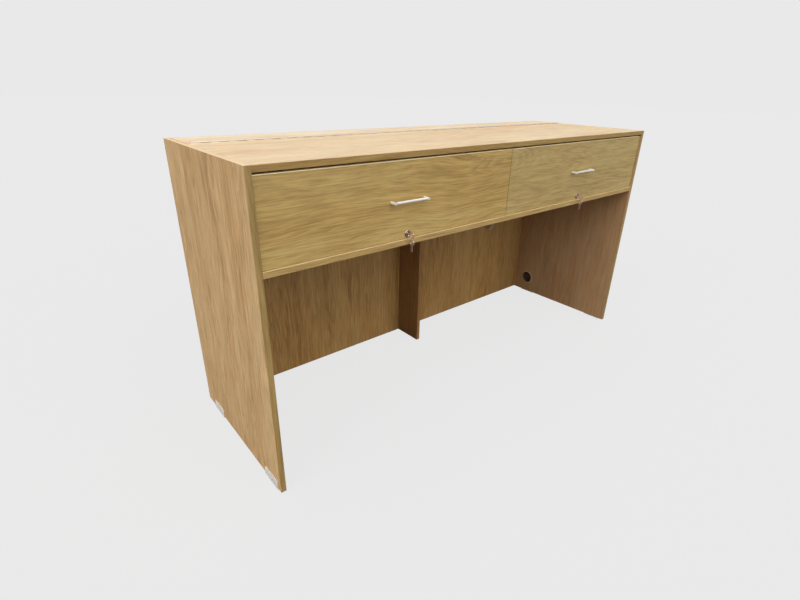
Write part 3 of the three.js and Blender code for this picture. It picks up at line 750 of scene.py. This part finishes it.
def add_shelf():
    """The shelf under the drawers, with a cable hole near the back and a slot for each lock's cam."""
    low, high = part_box("shelf")
    port_low, port_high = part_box("back_port_liner")
    panel_low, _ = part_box("back_panel")
    flap_low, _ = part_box("left_flap")
    hole_x = (port_low.x + port_high.x) / 2
    hole_y = (flap_low.y - CABLE_HOLE_LEAD + panel_low.y) / 2
    cutters = [add_rod("shelf_bore", CABLE_HOLE_RADIUS, (hole_x, hole_y, low.z - BEYOND),
                       (hole_x, hole_y, high.z + BEYOND), sides=64)]
    for name, _ in SIDES:
        cam_low, cam_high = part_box(f"{name}_lock_cam")
        plug_low, plug_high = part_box(f"{name}_lock_plug")
        centre = (plug_low + plug_high) / 2
        across = CAM_REACH + CAM_ROOM
        slot_low = (centre.x - across, cam_low.y - CAM_ROOM, centre.z - CAM_REACH - CAM_ROOM / 2)
        slot_high = (centre.x + across, cam_high.y + CAM_ROOM, high.z + 1 * MM)
        cutters.append(add_block(f"{name}_cam_slot", slot_low, slot_high))
    # The shelf's face takes the cream oak: painted highlight on the ledge under the drawers.
    add_board("shelf_board", "shelf", "carcass", "oak_front", 2, SHELF_HIGHLIGHT_OAK, SHELF_BAND,
              bands=(band(1, -1, "front_band", SHELF_BAND),), cutters=cutters)


def bottom_groove(name, sheet_low, sheet_high, start_y, end_y):
    """A cutter for the groove that holds a drawer's bottom sheet."""
    return add_block(name, (sheet_low.x - GROOVE_SIDE, start_y, sheet_low.z - GROOVE_PLAY),
                     (sheet_high.x + GROOVE_SIDE, end_y, sheet_high.z + GROOVE_PLAY))


def add_drawer_boxes():
    for name, _ in SIDES:
        sheet_low, sheet_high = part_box(f"{name}_drawer_bottom")
        add_drawer_front(name, sheet_low, sheet_high)
        body = f"{name}_drawer"
        for part, thickness in (("outer_side", 0), ("inner_side", 0), ("back", 1)):
            node = f"{name}_drawer_{part}"
            cutters = []
            if thickness == 0:
                cutters.append(bottom_groove(f"{node}_groove", sheet_low, sheet_high,
                                             sheet_low.y - 5 * BEYOND, sheet_high.y + 5 * BEYOND))
            add_board(f"{node}_board", node, body, "white_board", thickness, WHITE_BOARD, WHITE_BOARD,
                      cutters=cutters)
        add_board(f"{name}_drawer_bottom_sheet", f"{name}_drawer_bottom", body, "white_sheet", 2,
                  WHITE_SHEET, RAW_EDGE)


def add_drawer_front(name, sheet_low, sheet_high):
    plug_low, plug_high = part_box(f"{name}_lock_plug")
    centre = (plug_low + plug_high) / 2
    low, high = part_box(f"{name}_drawer_front")
    lock_bore = add_rod(f"{name}_lock_bore", LOCK_BORE, (centre.x, low.y - 10 * MM, centre.z),
                        (centre.x, high.y + 10 * MM, centre.z))
    groove = bottom_groove(f"{name}_front_groove", sheet_low, sheet_high, sheet_low.y - GROOVE_SIDE,
                           high.y + 1 * MM)
    # The top band takes the cream oak: painted highlight on the edge under the worktop.
    add_board(f"{name}_drawer_front_board", f"{name}_drawer_front", f"{name}_drawer", "oak_front", 1,
              FRONT_OAKS[name], FRONT_BAND,
              bands=(band(2, 1, "top_band", FRONT_TOP_HIGHLIGHT_BAND, FRONT_TOP_ROUND),
                     band(2, -1, "bottom_band", FRONT_BAND)),
              others=((0, -1, FRONT_END_BAND), (0, 1, FRONT_END_BAND)), cutters=[lock_bore, groove])


# ---------------------------------------------------------------- handles, locks and keys

def add_handles():
    """A nearly round bar, bent back at both ends to its feet."""
    for name, _ in SIDES:
        node = f"{name}_drawer_handle"
        low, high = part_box(node)
        bar = high.z - low.z
        radius = HANDLE_BEND - bar / 2
        middle_z = (low.z + high.z) / 2
        foot_x = low.x + bar / 2
        deselect_all()
        bpy.ops.mesh.primitive_plane_add(size=bar, location=(foot_x, high.y, middle_z),
                                         rotation=(math.pi / 2, 0, 0))
        piece = named(f"{name}_bar_handle")
        settle(piece)
        edit(piece, "VERT")
        bpy.ops.mesh.select_all(action="SELECT")
        bpy.ops.mesh.bevel(offset=HANDLE_CORNER, segments=5, affect="VERTICES")
        bpy.ops.mesh.select_all(action="SELECT")
        straight = (high.y - low.y) - HANDLE_BEND
        draw_out(0, -straight)
        bend_bar(foot_x + radius, low.y + HANDLE_BEND, middle_z)
        draw_out(high.x - low.x - 2 * HANDLE_BEND, 0)
        bend_bar(high.x - HANDLE_BEND, low.y + HANDLE_BEND, middle_z)
        draw_out(0, straight)
        leave_edit()
        close_and_face_out(piece)
        smooth(piece, 50)
        dress(piece, f"{name}_drawer", "handle_aluminium", HANDLE_WHITENED_METAL, stands_for=(node,))


def draw_out(x, y):
    bpy.ops.mesh.extrude_region_move(TRANSFORM_OT_translate={"value": (x, y, 0)})


def bend_bar(x, y, z):
    bpy.ops.mesh.spin(steps=8, angle=math.pi / 2, center=(x, y, z), axis=(0, 0, 1))


def master_screw(name, head, rise, shank, length):
    """A pan-head screw with a cross recess, along +Z, with its head's underside at the origin."""
    profile = [(0.2 * MM, rise), (head * 0.55, rise * 0.96), (head * 0.86, rise * 0.7), (head, rise * 0.2),
               (head, 0.0), (shank, 0.0), (shank, -length), (0.2 * MM, -length)]
    screw = add_turned(name, profile, steps=20)
    for turn in (0, math.pi / 2):
        slot = add_block(f"{name}_slot", (-head * 0.5, -head * 0.11, rise * 0.35),
                         (head * 0.5, head * 0.11, rise * 2))
        slot.rotation_euler = (0, 0, turn)
        settle(slot)
        carve(screw, slot)
    smooth(screw, 40)
    return screw


def add_lock_sets():
    for name, _ in SIDES:
        body_low, body_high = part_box(f"{name}_lock_body")
        plug_low, plug_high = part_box(f"{name}_lock_plug")
        centre = (body_low + body_high) / 2
        plug = (plug_high.x - plug_low.x) / 2
        add_lock_case(name, body_low, body_high, centre, plug)
        add_lock_plug(name, plug_low, plug_high, centre, plug)
        add_lock_cam(name, centre)
        add_keys(name)


def add_lock_case(name, low, high, centre, plug):
    """A turned case: a rounded rim on the face of the drawer, and a threaded barrel through it."""
    rim = (high.x - low.x) / 2
    depth = high.y - low.y
    inner = plug + 0.12 * MM
    lip, seat, thread = 1.3 * MM, 1.98 * MM, 3.2 * MM
    profile = [(inner, lip), (inner + 1.5 * MM, 0.0), (rim - 2.2 * MM, 0.0), (rim - 0.9 * MM, 0.35 * MM),
               (rim - 0.1 * MM, 0.9 * MM), (rim, 1.5 * MM), (rim, seat), (LOCK_BARREL, seat),
               (LOCK_BARREL, thread)]
    pitch = (depth - 4 * MM) / LOCK_THREADS
    for index in range(LOCK_THREADS):
        start = thread + index * pitch
        profile += [(LOCK_BARREL - 0.45 * MM, start + pitch * 0.5), (LOCK_BARREL, start + pitch)]
    profile += [(LOCK_BARREL - 0.4 * MM, depth), (inner, depth), (inner, lip)]
    case = add_turned(f"{name}_lock_case", profile, stood((centre.x, low.y, centre.z), Y_AXIS), steps=48)
    smooth(case, 40)
    dress(case, f"{name}_drawer", "lock_nickel", LOCK_NICKEL, stands_for=(f"{name}_lock_body",))


def add_lock_plug(name, low, high, centre, plug):
    """The plug that turns in the case, with its keyway."""
    length = high.y - low.y
    face = 0.6 * MM
    profile = [(0.3 * MM, face), (plug - 0.9 * MM, face), (plug - 0.4 * MM, 0.8 * MM), (plug, 1.3 * MM),
               (plug, length), (0.3 * MM, length)]
    place = stood((centre.x, low.y, centre.z), Y_AXIS)
    barrel_plug = add_turned(f"{name}_lock_barrel_plug", profile, place, steps=40)
    half_width, half_height = KEYWAY_HALF_WIDTH, KEYWAY_HALF_HEIGHT
    keyway = add_block(f"{name}_keyway", (centre.x - half_width, low.y - 1 * MM, centre.z - half_height),
                       (centre.x + half_width, low.y + 16.3 * MM, centre.z + half_height))
    carve(barrel_plug, keyway)
    paint_keyway(barrel_plug, centre)
    smooth(barrel_plug, 40)
    dress(barrel_plug, f"{name}_lock", "lock_nickel", stands_for=(f"{name}_lock_plug",))


def paint_keyway(plug, centre):
    """Darkens the keyway's own walls, down to the depth that shows from outside."""
    plug.data.materials.append(LOCK_NICKEL)
    plug.data.materials.append(KEYWAY_DARK)
    half_width, half_height, depth = KEYWAY_HALF_WIDTH + 0.1 * MM, KEYWAY_HALF_HEIGHT + 0.2 * MM, 4 * MM
    paint_faces(plug, 1, lambda middle, normal: abs(middle.x - centre.x) < half_width
                and abs(middle.z - centre.z) < half_height and middle.y < centre.y + depth
                and abs(normal.y) < 0.5)


def add_lock_cam(name, centre):
    """The cam on the plug's end: a round boss with an arm, and the nut that holds it."""
    low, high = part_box(f"{name}_lock_cam")
    half = (high.z - low.z) / 2
    cam = add_rod(f"{name}_cam", half, (centre.x, low.y, centre.z), (centre.x, high.y, centre.z), sides=32)
    arm = add_block(f"{name}_cam_arm", (centre.x, low.y, centre.z - half), (high.x, high.y, centre.z + half))
    tip = high.x - NEAR
    round_edges(arm, lambda a, b: a.x > tip and b.x > tip and abs(a.z - b.z) < NEAR, 2.5 * MM, 4)
    carve(cam, arm, "UNION")
    ease_edges(cam, 0.25 * MM, segments=2)
    nut = add_rod(f"{name}_cam_nut", 4.6 * MM, (centre.x, high.y, centre.z),
                  (centre.x, high.y + 3 * MM, centre.z), sides=6)
    ease_edges(nut, 0.5 * MM, segments=2)
    cam = join(f"{name}_cam_and_nut", [cam, nut])
    smooth(cam, 40)
    dress(cam, f"{name}_lock", "lock_nickel", SCREW_STEEL, stands_for=(f"{name}_lock_cam",))


def cut_key(name):
    """A flat key along +X with its bow's centre at the origin: an eye through the bow, and a blade with
    notches in one edge and a milled groove in each face."""
    bow, sheet, eye, eye_offset = KEY_BOW, 1.9 * MM, 4.5 * MM, 1.5 * MM
    blade, reach = 7 * MM, bow + 17.9 * MM
    beyond = 10 * MM
    key = add_rod(name, bow, (0, 0, -sheet / 2), (0, 0, sheet / 2), sides=48)
    shank = add_block(f"{name}_blade", (bow - 3 * MM, -blade / 2, -sheet / 2), (reach, blade / 2, sheet / 2))
    tip = reach - NEAR
    round_edges(shank, lambda a, b: a.x > tip and b.x > tip and abs(a.y - b.y) < NEAR, 2.4 * MM, 2)
    carve(key, shank, "UNION")
    carve(key, add_rod(f"{name}_eye", eye, (-eye_offset, 0, -beyond), (-eye_offset, 0, beyond)))
    for index, depth in enumerate((1.6, 0.9, 2.1, 1.2)):
        along_x = bow + (3.6 + index * 3) * MM
        notch = add_rod(f"{name}_notch", 1.5 * MM, (along_x, 0, -beyond), (along_x, 0, beyond), sides=4)
        notch.location = (0, blade / 2 + (1.8 - depth) * MM, 0)
        settle(notch)
        carve(key, notch)
    inset = sheet * 0.28
    for bottom, top in ((-inset - sheet, -inset), (inset, inset + sheet)):
        carve(key, add_block(f"{name}_groove", (bow + 1 * MM, -1.6 * MM, bottom),
                             (reach + 5 * MM, -0.4 * MM, top)))
    ease_edges(key, 0.2 * MM, segments=2, angle=50)
    smooth(key, 40)
    return key


def turned_to(blade, side, centre):
    """The place of a key whose blade and side run along the given axes."""
    third = blade.cross(side)
    turn = Matrix((blade, side, third)).transposed().to_4x4()
    return Matrix.Translation(centre) @ turn


def add_keys(name):
    """The key in the lock, the spare on its ring, and the ring."""
    master = cut_key(f"{name}_master_key")
    low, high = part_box(f"{name}_key")
    centre = Vector(((low.x + high.x) / 2, low.y + KEY_BOW, (low.z + high.z) / 2))
    key = copy_of(master, f"{name}_cut_key", turned_to(Y_AXIS, Z_AXIS, centre))
    dress(key, f"{name}_lock", "key_nickel", KEY_METAL, stands_for=(f"{name}_key",))
    low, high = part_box(f"{name}_spare_key")
    centre = Vector(((low.x + high.x) / 2, (low.y + high.y) / 2, high.z - KEY_BOW))
    spare = copy_of(master, f"{name}_cut_spare_key", turned_to(-Z_AXIS, Y_AXIS, centre))
    dress(spare, f"{name}_spare", "key_nickel", KEY_METAL, stands_for=(f"{name}_spare_key",))
    bpy.data.objects.remove(master)
    add_split_ring(name)


def add_split_ring(name):
    """Two turns of flat wire, wound side by side, with cut ends."""
    low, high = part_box(f"{name}_key_ring")
    centre = (low + high) / 2
    wire_radius = (high.y - low.y) / 2
    ring_radius = (high.z - low.z) / 2 - wire_radius
    deselect_all()
    bpy.ops.mesh.primitive_circle_add(vertices=10, radius=wire_radius * 0.5,
                                      location=(ring_radius, 0, -wire_radius * 0.5),
                                      rotation=(math.pi / 2, 0, 0))
    ring = named(f"{name}_split_ring")
    ring.scale = (1.7, 0.95, 1)
    settle(ring)
    apply_modifier(ring, "SCREW", angle=4 * math.pi * 0.985, screw_offset=wire_radius, iterations=1,
                   steps=88, render_steps=88, axis="Z", use_smooth_shade=True)
    close_and_face_out(ring)
    ring.matrix_world = Matrix.Translation(centre) @ Matrix.Rotation(math.pi / 2, 4, "X")
    settle(ring)
    smooth(ring, 60)
    dress(ring, f"{name}_ring", "ring_steel", RING_METAL, stands_for=(f"{name}_key_ring",))


# ---------------------------------------------------------------- strip hinge

def add_hinge():
    """A strip hinge: two leaves between the boards' edges, rolled knuckles in turn along one pin."""
    pin_low, pin_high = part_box("hinge_pin")
    centre = (pin_low + pin_high) / 2
    leaf_low, leaf_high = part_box("worktop_hinge_leaf")
    pin_radius = (pin_high.z - pin_low.z) / 2
    pin = add_rod("hinge_wire_pin", pin_radius, (pin_low.x, centre.y, centre.z),
                  (pin_high.x, centre.y, centre.z), sides=16)
    ease_edges(pin, 0.4 * MM, segments=2)
    smooth(pin)
    dress(pin, "carcass", "zinc_steel", SCREW_STEEL, stands_for=("hinge_pin",))

    screw = master_screw("hinge_screw", 2.6 * MM, 0.5 * MM, 1.2 * MM, 0.6 * MM)
    flap_face, top_face = centre.y + LEAF_CLEAR, centre.y - LEAF_CLEAR
    fixed = []
    for name, _ in SIDES:
        low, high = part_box(f"{name}_flap_hinge_leaf")
        moving = []
        pitch = (high.x - low.x) / HINGE_KNUCKLES
        for index in range(HINGE_KNUCKLES):
            row = moving if index % 2 else fixed
            start = low.x + index * pitch
            row.append(add_knuckle(f"{name}_knuckle", start, pitch, centre, leaf_high.z, pin_radius))
            edges = (high.y, flap_face) if index % 2 else (top_face, leaf_low.y)
            tab_low = (start + KNUCKLE_PLAY, min(edges), high.z - 8 * MM)
            tab_high = (start + pitch - KNUCKLE_PLAY, max(edges), centre.z - pin_radius - 0.1 * MM)
            row.append(add_block(f"{name}_tab", tab_low, tab_high))
        moving.append(add_leaf(f"{name}_leaf", low, high, flap_face, high.y))
        finish_leaf(join(f"{name}_flap_strip_leaf", moving), f"{name}_flap", f"{name}_flap_hinge_leaf")
        add_leaf_screws(f"{name}_flap_leaf_screws", screw, low, high, flap_face, -Y_AXIS, f"{name}_flap")
        add_leaf_screws(f"{name}_worktop_leaf_screws", screw, low, high, top_face, Y_AXIS, "carcass")
    fixed.append(add_leaf("worktop_leaf", leaf_low, leaf_high, leaf_low.y, top_face))
    finish_leaf(join("worktop_strip_leaf", fixed), "carcass", "worktop_hinge_leaf")
    bpy.data.objects.remove(screw)


def add_knuckle(name, start, pitch, centre, top, pin_radius):
    """One rolled knuckle round the pin, a little shorter than its pitch at both ends."""
    radius = top - centre.z
    inner = pin_radius + 0.1 * MM
    length = pitch - 2 * KNUCKLE_PLAY
    lip = 0.25 * MM
    profile = [(inner, 0.0), (radius - lip, 0.0), (radius, lip), (radius, length - lip),
               (radius - lip, length), (inner, length), (inner, 0.0)]
    return add_turned(name, profile, stood((start + KNUCKLE_PLAY, centre.y, centre.z), X_AXIS), steps=14)


def add_leaf(name, low, high, y0, y1):
    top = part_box("worktop")[1].z - 0.3 * MM
    leaf = add_block(name, (low.x, y0, low.z), (high.x, y1, top))
    return ease_edges(leaf, 0.15 * MM, segments=1)


def finish_leaf(leaf, body, node):
    smooth(leaf, 40)
    dress(leaf, body, "hinge_aluminium", HINGE_METAL, stands_for=(node,))


def add_leaf_screws(name, master, low, high, face_y, direction, body):
    """Screws along a leaf, their low heads sunk almost flush with it."""
    made = []
    for index in range(HINGE_SCREWS):
        x = low.x + (high.x - low.x) * (index + 0.5) / HINGE_SCREWS
        place = stood((x, face_y - direction.y * 0.35 * MM, low.z + 5.5 * MM), direction)
        made.append(copy_of(master, f"{name}_{index}", place))
    piece = join(name, made)
    dress(piece, body, "zinc_steel", SCREW_STEEL)


# ---------------------------------------------------------------- runners

def add_runners():
    """Three nested channels of folded steel on each side of a drawer, with their screws."""
    screw = master_screw("runner_screw", 3.4 * MM, 0.9 * MM, 1.8 * MM, 0.6 * MM)
    for name, side in SIDES:
        for place, towards in (("outer", -side), ("inner", side)):
            stem = f"{name}_{place}_runner"
            bodies = {"fixed": "carcass", "middle": f"{name}_{place}_middle", "drawer": f"{name}_drawer"}
            for member, body in bodies.items():
                opening = -towards if member == "drawer" else towards
                node = f"{stem}_{member}_member"
                low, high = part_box(node)
                channel = folded_channel(f"{stem}_{member}_channel", low, high, opening)
                dress(channel, body, "zinc_steel", RUNNER_STEEL, stands_for=(node,))
                if member != "middle":
                    web = low.x if opening > 0 else high.x
                    face = web + opening * RUNNER_SHEET
                    heads = []
                    for index, share in enumerate(RUNNER_SCREW_SHARES):
                        y = low.y + (high.y - low.y) * share
                        spot = stood((face, y, (low.z + high.z) / 2), (opening, 0, 0))
                        heads.append(copy_of(screw, f"{stem}_{member}_screw_{index}", spot))
                    dress(join(f"{stem}_{member}_screws", heads), body, "zinc_steel", SCREW_STEEL)
    bpy.data.objects.remove(screw)


def folded_channel(name, low, high, opening):
    """Folded from one sheet: a web with a lip above and below, open to one side and at both ends."""
    channel = add_block(name, low, high)
    select_faces(channel, lambda centre, normal: normal.x * opening > 0.5 or abs(normal.y) > 0.5)
    bpy.ops.mesh.delete(type="FACE")
    leave_edit()
    web = low.x if opening > 0 else high.x
    round_edges(channel, lambda a, b: abs(a.x - web) < NEAR and abs(b.x - web) < NEAR
                and abs(a.z - b.z) < NEAR, 2.2 * MM, 4)
    apply_modifier(channel, "SOLIDIFY", thickness=RUNNER_SHEET, offset=-1.0)
    ease_edges(channel, 0.2 * MM, segments=1, angle=60)
    smooth(channel, 40)
    return channel


# ---------------------------------------------------------------- glides and cable ports

def add_glides():
    """A moulded L under an end panel, with a wall up its outer face."""
    for name, side in SIDES:
        panel_low, panel_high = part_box(f"{name}_end_panel")
        for end in ("front", "back"):
            node = f"{name}_{end}_glide"
            low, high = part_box(node)
            saddle = add_block(f"{name}_{end}_saddle_glide", low, high)
            top = high.z - NEAR
            round_edges(saddle, lambda a, b: a.z > top and b.z > top and abs(a.y - b.y) < NEAR, 8 * MM, 8)
            beyond = 10 * MM
            slot_low = (panel_low.x - (beyond if side > 0 else 0), low.y - beyond, panel_low.z)
            slot_high = (panel_high.x + (beyond if side < 0 else 0), high.y + beyond, high.z + beyond)
            slot = add_block(f"{node}_slot", slot_low, slot_high)
            carve(saddle, slot)
            ease_edges(saddle, 0.6 * MM, segments=3)
            smooth(saddle, 40)
            dress(saddle, "carcass", "glide_plastic", GLIDE_PLASTIC, stands_for=(node,))


def add_ports():
    """The cable ports in the back panel and in the right end panel: a flanged liner and a cap in each."""
    # Each row gives the bore wall's finish, the flange's finish and the cap's finish; these are painted
    # highlight and painted shade on one plastic.
    for stem, axis, wall, rim, cap_finish in (
            ("back_port", Y_AXIS, PORT_WALL_HIGHLIT_PLASTIC, FLANGE_SHADED_PLASTIC, CAP_PLASTIC),
            ("side_port", X_AXIS, CAP_PLASTIC, RIM_HIGHLIT_PLASTIC, DARK_CAP_SHADED_PLASTIC)):
        index = 1 if axis.y else 0
        low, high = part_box(f"{stem}_liner")
        centre = (low + high) / 2
        start = centre.copy()
        start[index] = low[index]
        across = 0 if index else 1
        flange = (high[across] - low[across]) / 2
        sleeve = flange - PORT_LAP - 0.35 * MM
        inner = flange - PORT_LAP - PORT_WALL
        depth = high[index] - low[index]
        lip, seat = 0.6 * MM, 1.98 * MM
        profile = [(inner, lip), (inner + lip, 0.0), (flange - 1.2 * MM, 0.0), (flange - 0.4 * MM, 0.4 * MM),
                   (flange, 1.2 * MM), (flange, seat), (sleeve, seat), (sleeve, depth), (inner, depth),
                   (inner, lip)]
        liner = add_turned(f"{stem}_turned_liner", profile, stood(start, axis), steps=64)
        smooth(liner, 40)
        dress(liner, "carcass", "port_plastic", wall, rim, stands_for=(f"{stem}_liner",))
        # The flange and the bore wall of one moulding take different finishes: painted highlight on one and
        # painted shade on the other.
        paint_faces(liner, 1, lambda middle, normal: (middle - centre).length > inner + 1.6 * MM)
        add_port_cap(stem, index, centre, axis, cap_finish)


def add_port_cap(stem, index, centre, axis, finish):
    """A dished cap with a raised rim and a cable notch that a thin web closes."""
    low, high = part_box(f"{stem}_cap")
    across = 0 if index else 1
    radius = (high[across] - low[across]) / 2
    start = centre.copy()
    start[index] = low[index]
    thick = high[index] - low[index]
    profile = [(0.5 * MM, 0.8 * MM), (radius * 0.8, 0.8 * MM), (radius * 0.84, 0.0), (radius - 0.5 * MM, 0.0),
               (radius, 0.5 * MM), (radius, thick), (0.5 * MM, thick)]
    cap = add_turned(f"{stem}_dished_cap", profile, stood(start, axis), steps=64)
    half = radius / 4
    notch_low, notch_high = centre.copy(), centre.copy()
    notch_low[across] -= half
    notch_high[across] += half
    notch_low[index] = low[index] - 0.05
    notch_high[index] = high[index] - 0.8 * MM
    notch_low.z, notch_high.z = centre.z - radius * 1.1, centre.z - radius * 0.7
    carve(cap, add_block(f"{stem}_notch", notch_low, notch_high))
    ease_edges(cap, 0.25 * MM, segments=1, angle=50)
    smooth(cap, 40)
    dress(cap, "carcass", "port_cap_plastic", finish, stands_for=(f"{stem}_cap",))


# ---------------------------------------------------------------- studio

CAMERA_PLACE = Vector((-1.288547, -1.275366, 1.091898))
CAMERA_TURN = Vector((1.90708766, -0.683041807, 0.474952211))
SENSOR = 36.0
LENS = 21.17929658
SHIFT = (-0.0116868, -0.007071535)


def add_camera():
    """A wide lens at standing height, off the left front corner of the desk."""
    angle = CAMERA_TURN.length
    rows = Matrix.Rotation(angle, 3, CAMERA_TURN.normalized())
    data = bpy.data.cameras.new("studio_camera")
    data.sensor_width = SENSOR
    data.lens = LENS
    data.shift_x, data.shift_y = SHIFT
    data.clip_start, data.clip_end = 0.01, 100
    camera = bpy.data.objects.new("studio_camera", data)
    bpy.context.scene.collection.objects.link(camera)
    right, down, ahead = rows[0], rows[1], rows[2]
    turn = Matrix((right, -down, -ahead)).transposed().to_4x4()
    panel_low, panel_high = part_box("left_end_panel")
    middle = Vector((0, (panel_low.y + panel_high.y) / 2, 0))
    camera.matrix_world = Matrix.Translation(CAMERA_PLACE + middle) @ turn
    bpy.context.scene.camera = camera


PALE = 0.8148
SKY = ((0.0, 0.06), (0.48, 0.12), (0.54, 0.30), (1.0, 0.58))
FLOOR_GLOW, FLOOR_SHARE, FLOOR_BOUNCE = 0.757, 0.05, 0.16
LAMPS = (("overhead_softbox", (-0.1, -0.2, 1.0), 0.8, 80), ("left_softbox", (-1.0, -0.1, 0.5), 1.7, 50),
         ("front_softbox", (0.1, -1.0, 0.6), 1.5, 60))


def add_soft_light(name, direction, strength, spread):
    """A wide far-off softbox, as a sun lamp with a large disc. The direction is the way to it."""
    data = bpy.data.lights.new(name, "SUN")
    data.energy = strength
    data.angle = math.radians(spread)
    lamp = bpy.data.objects.new(name, data)
    bpy.context.scene.collection.objects.link(lamp)
    lamp.rotation_euler = Vector(direction).to_track_quat("Z", "Y").to_euler()


def grey(value):
    return (value, value, value, 1.0)


def add_studio():
    """A pale surround that is darker low down, so that the knee space falls into shade."""
    scene = bpy.context.scene
    scene.view_settings.view_transform = "Standard"
    world = bpy.data.worlds.new("studio")
    world.use_nodes = True
    tree = world.node_tree
    direction = wire(tree, "ShaderNodeTexCoord").outputs["Generated"]
    way = wire(tree, "ShaderNodeSeparateXYZ", {"Vector": direction})
    height = remap(tree, way.outputs["Z"], -1.0, 1.0)
    surround = ramp(tree, height, [(place, grey(value)) for place, value in SKY])
    seen = wire(tree, "ShaderNodeLightPath").outputs["Is Camera Ray"]
    tree.links.new(colour_mix(tree, seen, surround, grey(PALE)), tree.nodes["Background"].inputs["Color"])
    scene.world = world

    deselect_all()
    bpy.ops.mesh.primitive_plane_add(size=60)
    floor = named("studio_floor")
    material, tree, shader = open_material("pale_studio_floor")
    vector = wire(tree, "ShaderNodeTexCoord").outputs["Object"]
    shades = ramp(tree, noise(tree, vector, scale=0.8), [(0.0, grey(FLOOR_SHARE)),
                                                         (1.0, grey(FLOOR_SHARE * 1.04))])
    lit = wire(tree, "ShaderNodeBsdfDiffuse", {"Color": shades}).outputs[0]
    glow = wire(tree, "ShaderNodeEmission", {"Color": grey(FLOOR_GLOW)}).outputs[0]
    front = wire(tree, "ShaderNodeAddShader", {0: lit, 1: glow}).outputs[0]
    bounce = wire(tree, "ShaderNodeBsdfDiffuse", {"Color": grey(FLOOR_BOUNCE)}).outputs[0]
    seen = wire(tree, "ShaderNodeLightPath").outputs["Is Camera Ray"]
    mixed = wire(tree, "ShaderNodeMixShader", {0: seen, 1: bounce, 2: front}).outputs[0]
    tree.links.new(mixed, tree.nodes["Material Output"].inputs["Surface"])
    tree.nodes.remove(shader)
    floor.data.materials.append(material)

    for name, direction, strength, spread in LAMPS:
        add_soft_light(name, direction, strength, spread)


add_camera()
add_end_panels()
add_worktop()
add_flaps()
add_inner_boards()
add_shelf()
add_drawer_boxes()
add_handles()
add_lock_sets()
add_hinge()
add_runners()
add_glides()
add_ports()
add_studio()
